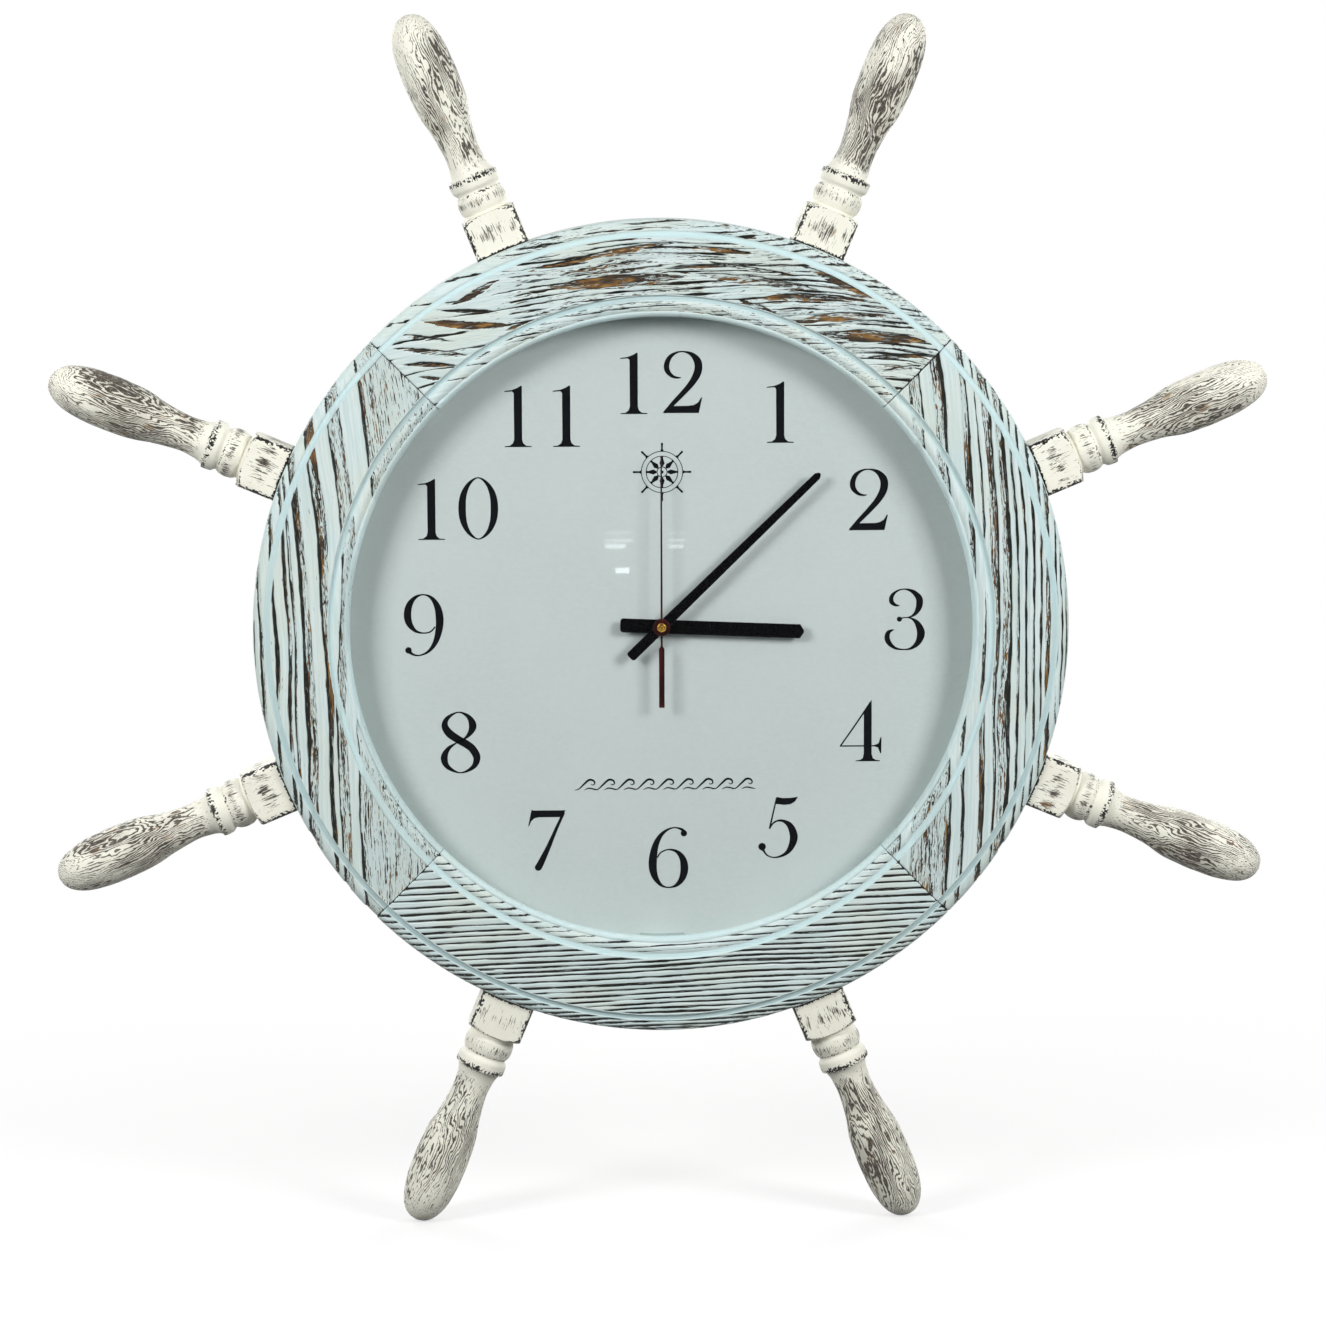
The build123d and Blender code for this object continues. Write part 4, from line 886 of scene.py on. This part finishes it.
hands = {
    "hour": {"angle": 92.3, "length": 83.1, "tail": 24.0, "width": 8.2, "tip": 8.2, "front": -4.6, "back": -3.8},
    "minute": {"angle": 46.0, "length": 128.2, "tail": 25.7, "width": 6.1, "tip": 4.2, "front": -6.8, "back": -6.0},
    "chamfer": 0.22, "tailRound": 1.7, "point": 2.2, "pointWidth": 1.4,
}


def clockwise(points, angle):
    turn = math.radians(angle)
    x, y, z = np.asarray(points, float).T
    return np.column_stack([x * math.cos(turn) + z * math.sin(turn), y, z * math.cos(turn) - x * math.sin(turn)])


def barHand(look):
    half, tip, bend = look["width"] / 2, look["tip"] / 2, hands["tailRound"]
    turn = np.linspace(-math.pi / 2, 0, 7)
    side = [(half - bend + bend * math.cos(t), -look["tail"] + bend + bend * math.sin(t)) for t in turn]
    shoulder = (tip + (half - tip) * hands["point"] / look["length"], look["length"] - hands["point"])
    side += [(half, 0), shoulder, (hands["pointWidth"] / 2, look["length"])]
    points, faces = prism(mirrored(side), look["front"], look["back"], hands["chamfer"])
    return clockwise(points, look["angle"]), faces


for name in ("hour", "minute"):
    blade = makePiece(f"{name}Blade", *barHand(hands[name]), blackLacquer, sharpAngle=25)
    settle(blade, f"{name}_hand", "black_paint", f"{name}_hand")

needle = {
    # half width and distance from the axis
    "outline": ((1.6, -47.0), (1.6, -12.6), (0.6, -11.0), (0.6, 0), (0.45, 99.5)),
    "front": -8.8, "back": -8.3, "edge": 0.1, "hubRadius": 5.0, "hubFront": -9.2, "hubEdge": 0.15,
}
parts = [prism(mirrored(needle["outline"]), needle["front"], needle["back"], needle["edge"]),
         prism(circle((0, 0), needle["hubRadius"], 64), needle["hubFront"], needle["back"], needle["hubEdge"])]
piece = makePiece("secondNeedle", *joinParts(parts), maroonEnamel, sharpAngle=25)
settle(piece, "second_hand", "maroon_paint", "second_hand")


def turnedPiece(name, profile, finish, count=64, sharpAngle=35):
    # a shape turned about Y from its (radius, place) points, whose first and last lie on the axis
    turn = np.linspace(0, fullTurn, count, endpoint=False)
    rings = [np.column_stack([radius * np.cos(turn), np.full(count, place), radius * np.sin(turn)])
             for radius, place in profile[1:-1]]
    points = np.concatenate([*rings, [[0, profile[0][1], 0], [0, profile[-1][1], 0]]])
    return makePiece(name, points, tubeFaces(len(rings), count, "fans"), finish, sharpAngle=sharpAngle)


bossProfile = [
    (0, -9.2), (2.8, -9.2), (2.8, -9.7), (2.72, -10.05), (2.45, -10.4), (2.05, -10.65), (1.6, -10.78), (1.3, -10.8),
    (1.22, -10.74), (1.05, -10.5), (0.7, -10.36), (0.35, -10.31), (0, -10.3)]
settle(turnedPiece("dimpledBoss", bossProfile, turnedBrass), "second_hand", "brass", "second_hand_boss")
print("hands made")

# ---- finishes for the CAD's own nodes ----


def mouldedPlastic(name, base, cloudy, roughness, spark):
    # injection-moulded plastic: fine spark texture from the mould, slight sheen
    finish, tree, surface, place = newFinish(name, {"Roughness": roughness, "IOR": 1.5})
    texture = grainMask(tree, place, spark, 0.3, 0.7)
    colour = layered(tree, base, [(grainMask(tree, place, 14, 0.35, 0.7), 1, cloudy)])
    dress(tree, surface, colour, (texture, roughness - 0.05, roughness + 0.08), (texture, 0.2, 0.05))
    return finish


def metalSheet(name, base, dull, roughness, lay):
    # rolled or stamped metal: fine scratches along the roll, cloudy dulling
    finish, tree, surface, place = newFinish(name, {"Metallic": 1.0, "Roughness": roughness})
    scratches = grainMask(tree, place, lay, 0.3, 0.7, 3.0)
    colour = layered(tree, base, [(grainMask(tree, place, 5, 0.35, 0.7), 1, dull)])
    dress(tree, surface, colour, (scratches, roughness - 0.06, roughness + 0.14), (scratches, 0.15, 0.02))
    return finish


def plainWood(name, stops, along):
    # planed softwood or pressed board: grain lines in its length, pores, no finish
    finish, tree, surface, place = newFinish(name, {"Roughness": 0.75})
    tone = addNode(tree, "ShaderNodeValToRGB", {"stops": stops}, {0: grainMask(tree, place, along, 0.25, 0.75, 4.0)})
    fibre = grainMask(tree, place, [s * 0.3 for s in along], 0.35, 0.7)
    dress(tree, surface, tone.outputs[0], (fibre, 0.68, 0.85), (fibre, 0.3, 0.1))
    return finish


# Dial face: coated card printed pale grey-green, with a fine linen tooth.
printedCard, tree, surface, place = newFinish("printedDialCard", {"Roughness": 0.55})
tooth = grainMask(tree, place, (2.4, 2.4, 1.1), 0.3, 0.7, 3.0)
mottle = grainMask(tree, place, 60, 0.35, 0.7)
colour = layered(tree, "#d3dada", [(tooth, 0.4, "#c7cfcf"), (mottle, 0.3, "#d7dddd")])
dress(tree, surface, colour, relief=(tooth, 0.12, 0.05))

# Float glass: clear with the faint green of iron, reflecting by Fresnel, letting lamps through.
clearGlass = bpy.data.materials.new("floatGlass")
tree = emptyTree(clearGlass)
rays = addNode(tree, "ShaderNodeLightPath")
smear = grainMask(tree, addNode(tree, "ShaderNodeTexCoord").outputs["Object"], (60, 60, 25), 0.35, 0.75)
film = addNode(tree, "ShaderNodeMapRange", {"To Min": 0.012, "To Max": 0.035}, {"Value": smear})
through = addNode(tree, "ShaderNodeBsdfTransparent", {"Color": "#fbfdfc"})
unshaded = addNode(tree, "ShaderNodeBsdfTransparent", {"Color": "#ffffff"})
mirror = addNode(tree, "ShaderNodeBsdfGlossy", {"Color": "#ffffff"}, {"Roughness": film})
# The outer face reflects for both; from inside, a straight ray would be turned back wholly at a slant.
fresnel = addNode(tree, "ShaderNodeFresnel", {"IOR": 1.7})
backfacing = addNode(tree, "ShaderNodeNewGeometry").outputs["Backfacing"]
outside = addNode(tree, "ShaderNodeMath", {"operation": "SUBTRACT", 0: 1.0}, {1: backfacing})
reflected = addNode(tree, "ShaderNodeMath", {"operation": "MULTIPLY"}, {0: fresnel, 1: outside})
glass = addNode(tree, "ShaderNodeMixShader", links={0: reflected, 1: through, 2: mirror})
lit = addNode(tree, "ShaderNodeMixShader", links={0: rays.outputs["Is Shadow Ray"], 1: glass, 2: unshaded})
addNode(tree, "ShaderNodeOutputMaterial", links={"Surface": lit})

# Battery: plain printed sleeve, with a bright ring at the plus end and steel end caps.
battery = {"tone": (10.5, 11.2), "plusEnd": (23.8, 24.1), "minusEnd": (-23.6, -23.8)}  # where each begins along X
batterySleeve, tree, surface, place = newFinish("shrunkBatterySleeve", {"Roughness": 0.3})
lengthwise = addNode(tree, "ShaderNodeSeparateXYZ", links={0: place}).outputs[0]
sleeveTone, plusEnd, minusEnd = (
    addNode(tree, "ShaderNodeMapRange", {"From Min": start * mm, "From Max": end * mm}, {"Value": lengthwise})
    for start, end in battery.values())
ends = addNode(tree, "ShaderNodeMath", {"operation": "MAXIMUM"}, {0: plusEnd, 1: minusEnd})
scuff = grainMask(tree, place, 2, 0.4, 0.8)
colour = layered(tree, "#23262b", [(scuff, 1, "#2b2f35"), (sleeveTone, 1, "#b9793a"), (ends, 1, "#c4c4c0")])
dress(tree, surface, colour, (scuff, 0.24, 0.4))
tree.links.new(ends.outputs[0], surface.inputs["Metallic"])

nickelSteel = metalSheet("nickelPlatedSteel", "#c9c8c4", "#aeaca7", 0.28, (9, 0.5, 0.5))
whiteWheels = (
    "cannon_pinion", "fifth_wheel", "hour_wheel", "minute_drive_wheel", "motion_wheel", "second_wheel", "third_wheel")
boardTones = ((0.2, "#5d3f26"), (0.5, "#77533a"), (0.8, "#8c6747"))
splineTones = ((0.2, "#8b6038"), (0.5, "#b08555"), (0.8, "#c9a06c"))
finishes = (
    (printedCard, "dial_face"), (clearGlass, "glass"), (batterySleeve, "battery"), (turnedBrass, "hand_nut"),
    (plainWood("pressedHardboard", boardTones, (3.0, 1.0, 3.0)), "dial_board"),
    (plainWood("bareSoftwood", splineTones, (1.5, 20, 1.5)), "mitre_splines"),
    (mouldedPlastic("greyPaintedSoftwood", "#b6c6c5", "#a9b9b7", 0.6, 1.0), "glass_blocks"),
    (mouldedPlastic("blackStyrene", "#141416", "#1b1b1e", 0.42, 0.5), "movement_case", "movement_lid"),
    (mouldedPlastic("satinBlackAcetal", "#303136", "#3a3b40", 0.34, 0.4), "setting_knob"),
    (mouldedPlastic("whiteAcetal", "#e9e6da", "#dedacb", 0.35, 0.4), *whiteWheels),
    (mouldedPlastic("greenCircuitLaminate", "#1f5a35", "#2b6d42", 0.32, 0.8), "circuit_board"),
    (nickelSteel, "battery_contacts", "hanger_plate", "quartz_crystal"),
    (metalSheet("siliconIron", "#8d8d8f", "#75757a", 0.42, (6, 0.4, 0.4)), "stator"),
    (metalSheet("sinteredMagnet", "#5c5c60", "#47474c", 0.5, 0.6), "rotor"),
    (metalSheet("enamelledCopperWire", "#b5602c", "#8f4520", 0.3, (0.4, 3, 3)), "coil"),
)
for finish, *names in finishes:
    for name in names:
        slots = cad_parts[name].data.materials
        for number in range(len(slots)):
            slots[number] = finish
print("finishes laid")

# ---- small fasteners at the back ----

# Framer's points that hold the board in its rebate.
framer = {
    "count": 12, "wall": 187.5, "reach": 6.0, "width": 9.0, "tipWidth": 2.4, "sunk": 0.05, "thickness": 0.5,
    "boardBack": 5.4, "firstAngle": 15.0}
half, tipHalf = framer["width"] / 2, framer["tipWidth"] / 2
base, tip = framer["wall"] - framer["sunk"], framer["wall"] - framer["reach"]
outline = [(-half, base), (half, base), (tipHalf, tip), (-tipHalf, tip)]
points, faces = prism(outline, framer["boardBack"], framer["boardBack"] + framer["thickness"])
seed = makePiece("seedPoint", points, faces, nickelSteel)
piece = grow("framersPoints", axisTree, seed.data, nickelSteel,
             Count=framer["count"], FirstAngle=math.radians(framer["firstAngle"]))
bpy.data.objects.remove(seed)
settle(piece, "root", "plated_steel")

# Slotted screws that hold the hanger plate.
screw = {
    "places": ((-18.5, 211.9), (18.5, 211.9)), "radius": 3.1, "slot": 0.45, "plateBack": 23.0, "proud": 0.55,
    "slotDepth": 0.4, "depth": 0.8, "chamfer": 0.25,
    "overlap": 0.05}
front = screw["plateBack"] - screw["proud"]
slotFloor = front + screw["slotDepth"]
reach = math.acos(screw["slot"] / screw["radius"])
turn = np.linspace(-reach, reach, 25)
parts = []
for x, z in screw["places"]:
    parts.append(prism(circle((x, z), screw["radius"], 48), slotFloor, screw["plateBack"] + screw["depth"]))
    for sign in (1, -1):
        outline = np.column_stack([x + sign * screw["radius"] * np.cos(turn), z + screw["radius"] * np.sin(turn)])
        parts.append(prism(outline, front, slotFloor + screw["overlap"], screw["chamfer"]))
points, faces = joinParts(parts)
points[:, 1] = 2 * screw["plateBack"] - points[:, 1]  # they face the back
settle(makePiece("hangerScrews", points, faces, turnedBrass), "root", "brass")
print("fasteners made")

# ---- floor, lamps and camera ----

studio = {
    "target": (0.0010, 0.0, -0.0218), "azimuth": -1.9058, "elevation": 6.9717, "distance": 2.4746,
    "focalLength": 4241.08, "imageSize": 1326, "roll": -0.168,  # focal length and size in the photograph's pixels
    "worldStrength": 0.38, "floorSize": 30.0,
    # softboxes: place, size and power, on both sides
    "lamps": (((1.02, -1.0, 0.58), 0.5, 13.2), ((0.8, 1.3, 0.5), 0.9, 8.5)),
    "blackCard": ((-3.0, 3.0), -0.9, (-0.351, 2.6)),  # what the glass and the hands reflect
    # bright panes behind the camera, as the glass shows them: left, right, top and bottom there in mm, and how bright
    "panes": (
        (-32.7, -17.3, 56.6, 55.2, 1.6), (-32.7, -17.3, 52.2, 50.6, 2.8), (-32.9, -21.0, 49.3, 46.9, 5),
        (4.5, 13.5, 56.0, 55.0, 1.6), (4.5, 13.5, 52.1, 50.8, 2.8), (4.3, 12.5, 49.0, 46.9, 4),
        (-26.9, -18.8, 35.7, 32.4, 6)),
    "paneShare": 1.342, "panePlace": -0.85, "mirroredCamera": (-0.0807, 0.2786),
}


def studioSheet(name, corners, finish, onlyMirrored=False):
    mesh = bpy.data.meshes.new(name)
    mesh.from_pydata(corners, [], [(0, 1, 2, 3)])
    mesh.materials.append(finish)
    sheet = bpy.data.objects.new(name, mesh)
    scene.collection.objects.link(sheet)
    if onlyMirrored:
        sheet.visible_camera = sheet.visible_diffuse = sheet.visible_shadow = False


def seenRays(tree):
    # 1 for what the camera sees, also through or in something
    rays = addNode(tree, "ShaderNodeLightPath").outputs
    kinds = {0: rays["Is Glossy Ray"], 1: rays["Is Transmission Ray"]}
    kinds = {0: rays["Is Camera Ray"], 1: addNode(tree, "ShaderNodeMath", {"operation": "MAXIMUM"}, kinds)}
    return addNode(tree, "ShaderNodeMath", {"operation": "MAXIMUM"}, kinds)


# White paper sweep: its near part takes shadows, its far part shows as plain white.
paper = bpy.data.materials.new("whiteStudioPaper")
tree = emptyTree(paper)
place = addNode(tree, "ShaderNodeTexCoord").outputs["Object"]
away = addNode(tree, "ShaderNodeVectorMath", {"operation": "LENGTH"}, {0: place}).outputs["Value"]
far = eased(tree, away, 0.3, 0.95, 0.6)
seen = seenRays(tree)
paperTone = layered(tree, "#5c5c5c", [(seen, 1, "#fbfbfb")])  # lights the object from below less than it shows
matt = addNode(tree, "ShaderNodeBsdfDiffuse", links={"Color": paperTone})
bright = addNode(tree, "ShaderNodeEmission", {"Color": "#ffffff", "Strength": 1.0})
farSeen = addNode(tree, "ShaderNodeMath", {"operation": "MULTIPLY"}, {0: far, 1: seen})
mixed = addNode(tree, "ShaderNodeMixShader", links={0: farSeen, 1: matt, 2: bright})
addNode(tree, "ShaderNodeOutputMaterial", links={"Surface": mixed})
low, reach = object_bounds()[0][2], studio["floorSize"]
corners = [(-reach, -reach, low), (reach, -reach, low), (reach, reach, low), (-reach, reach, low)]
studioSheet("studioFloor", corners, paper)

# Black velvet card in front of the glass: only reflections see it.
velvet = newFinish("blackVelvet", {"Base Color": "#0c0c0d", "Roughness": 1.0, "Sheen Weight": 0.2})[0]
(left, right), y, (bottom, top) = studio["blackCard"]
studioSheet("blackCard", [(left, y, bottom), (right, y, bottom), (right, y, top), (left, y, top)], velvet, True)

# Window panes: only the glass sees them, as faint bars.
eyeX, eyeZ = studio["mirroredCamera"]
for number, (left, right, top, bottom, strength) in enumerate(studio["panes"]):
    left, right = (eyeX + (x * mm - eyeX) * studio["paneShare"] for x in (left, right))
    bottom, top = (eyeZ + (z * mm - eyeZ) * studio["paneShare"] for z in (bottom, top))
    y = studio["panePlace"]
    glow = bpy.data.materials.new(f"windowGlow.{number}")
    tree = emptyTree(glow)
    shine = addNode(tree, "ShaderNodeEmission", {"Color": "#f4f9ff", "Strength": float(strength)})
    addNode(tree, "ShaderNodeOutputMaterial", links={"Surface": shine})
    corners = [(left, y, bottom), (right, y, bottom), (right, y, top), (left, y, top)]
    studioSheet(f"windowPane.{number}", corners, glow, True)

scene.world = bpy.data.worlds.new("studioWorld")
tree = emptyTree(scene.world)
strength = {"To Min": studio["worldStrength"], "To Max": 1.0}
strength = addNode(tree, "ShaderNodeMapRange", strength, {"Value": seenRays(tree)})
sky = addNode(tree, "ShaderNodeBackground", {"Color": "#ffffff"}, {"Strength": strength})
addNode(tree, "ShaderNodeOutputWorld", links={"Surface": sky})

for number, (place, size, power) in enumerate(studio["lamps"]):
    for side in (-1, 1):
        name = f"softbox.{2 * number + (side > 0)}"
        light = bpy.data.lights.new(name, "AREA")
        light.shape, light.size, light.energy = "SQUARE", size, power
        lamp = bpy.data.objects.new(name, light)
        scene.collection.objects.link(lamp)
        lamp.location, lamp.visible_camera = (side * place[0], *place[1:]), False
        lamp.rotation_euler = (-lamp.location).to_track_quat("-Z", "Y").to_euler()

turn, rise = math.radians(studio["azimuth"]), math.radians(studio["elevation"])
towards = Vector((math.sin(turn) * math.cos(rise), -math.cos(turn) * math.cos(rise), math.sin(rise)))
lens = bpy.data.cameras.new("camera")
lens.sensor_width = 36.0
lens.lens = studio["focalLength"] / studio["imageSize"] * lens.sensor_width
camera = bpy.data.objects.new("camera", lens)
scene.collection.objects.link(camera)
camera.location = Vector(studio["target"]) + towards * studio["distance"]
roll = Quaternion((0, 0, 1), math.radians(studio["roll"]))
camera.rotation_euler = ((-towards).to_track_quat("-Z", "Y") @ roll).to_euler()
scene.camera = camera
scene.view_settings.view_transform = "Standard"
print("studio made")
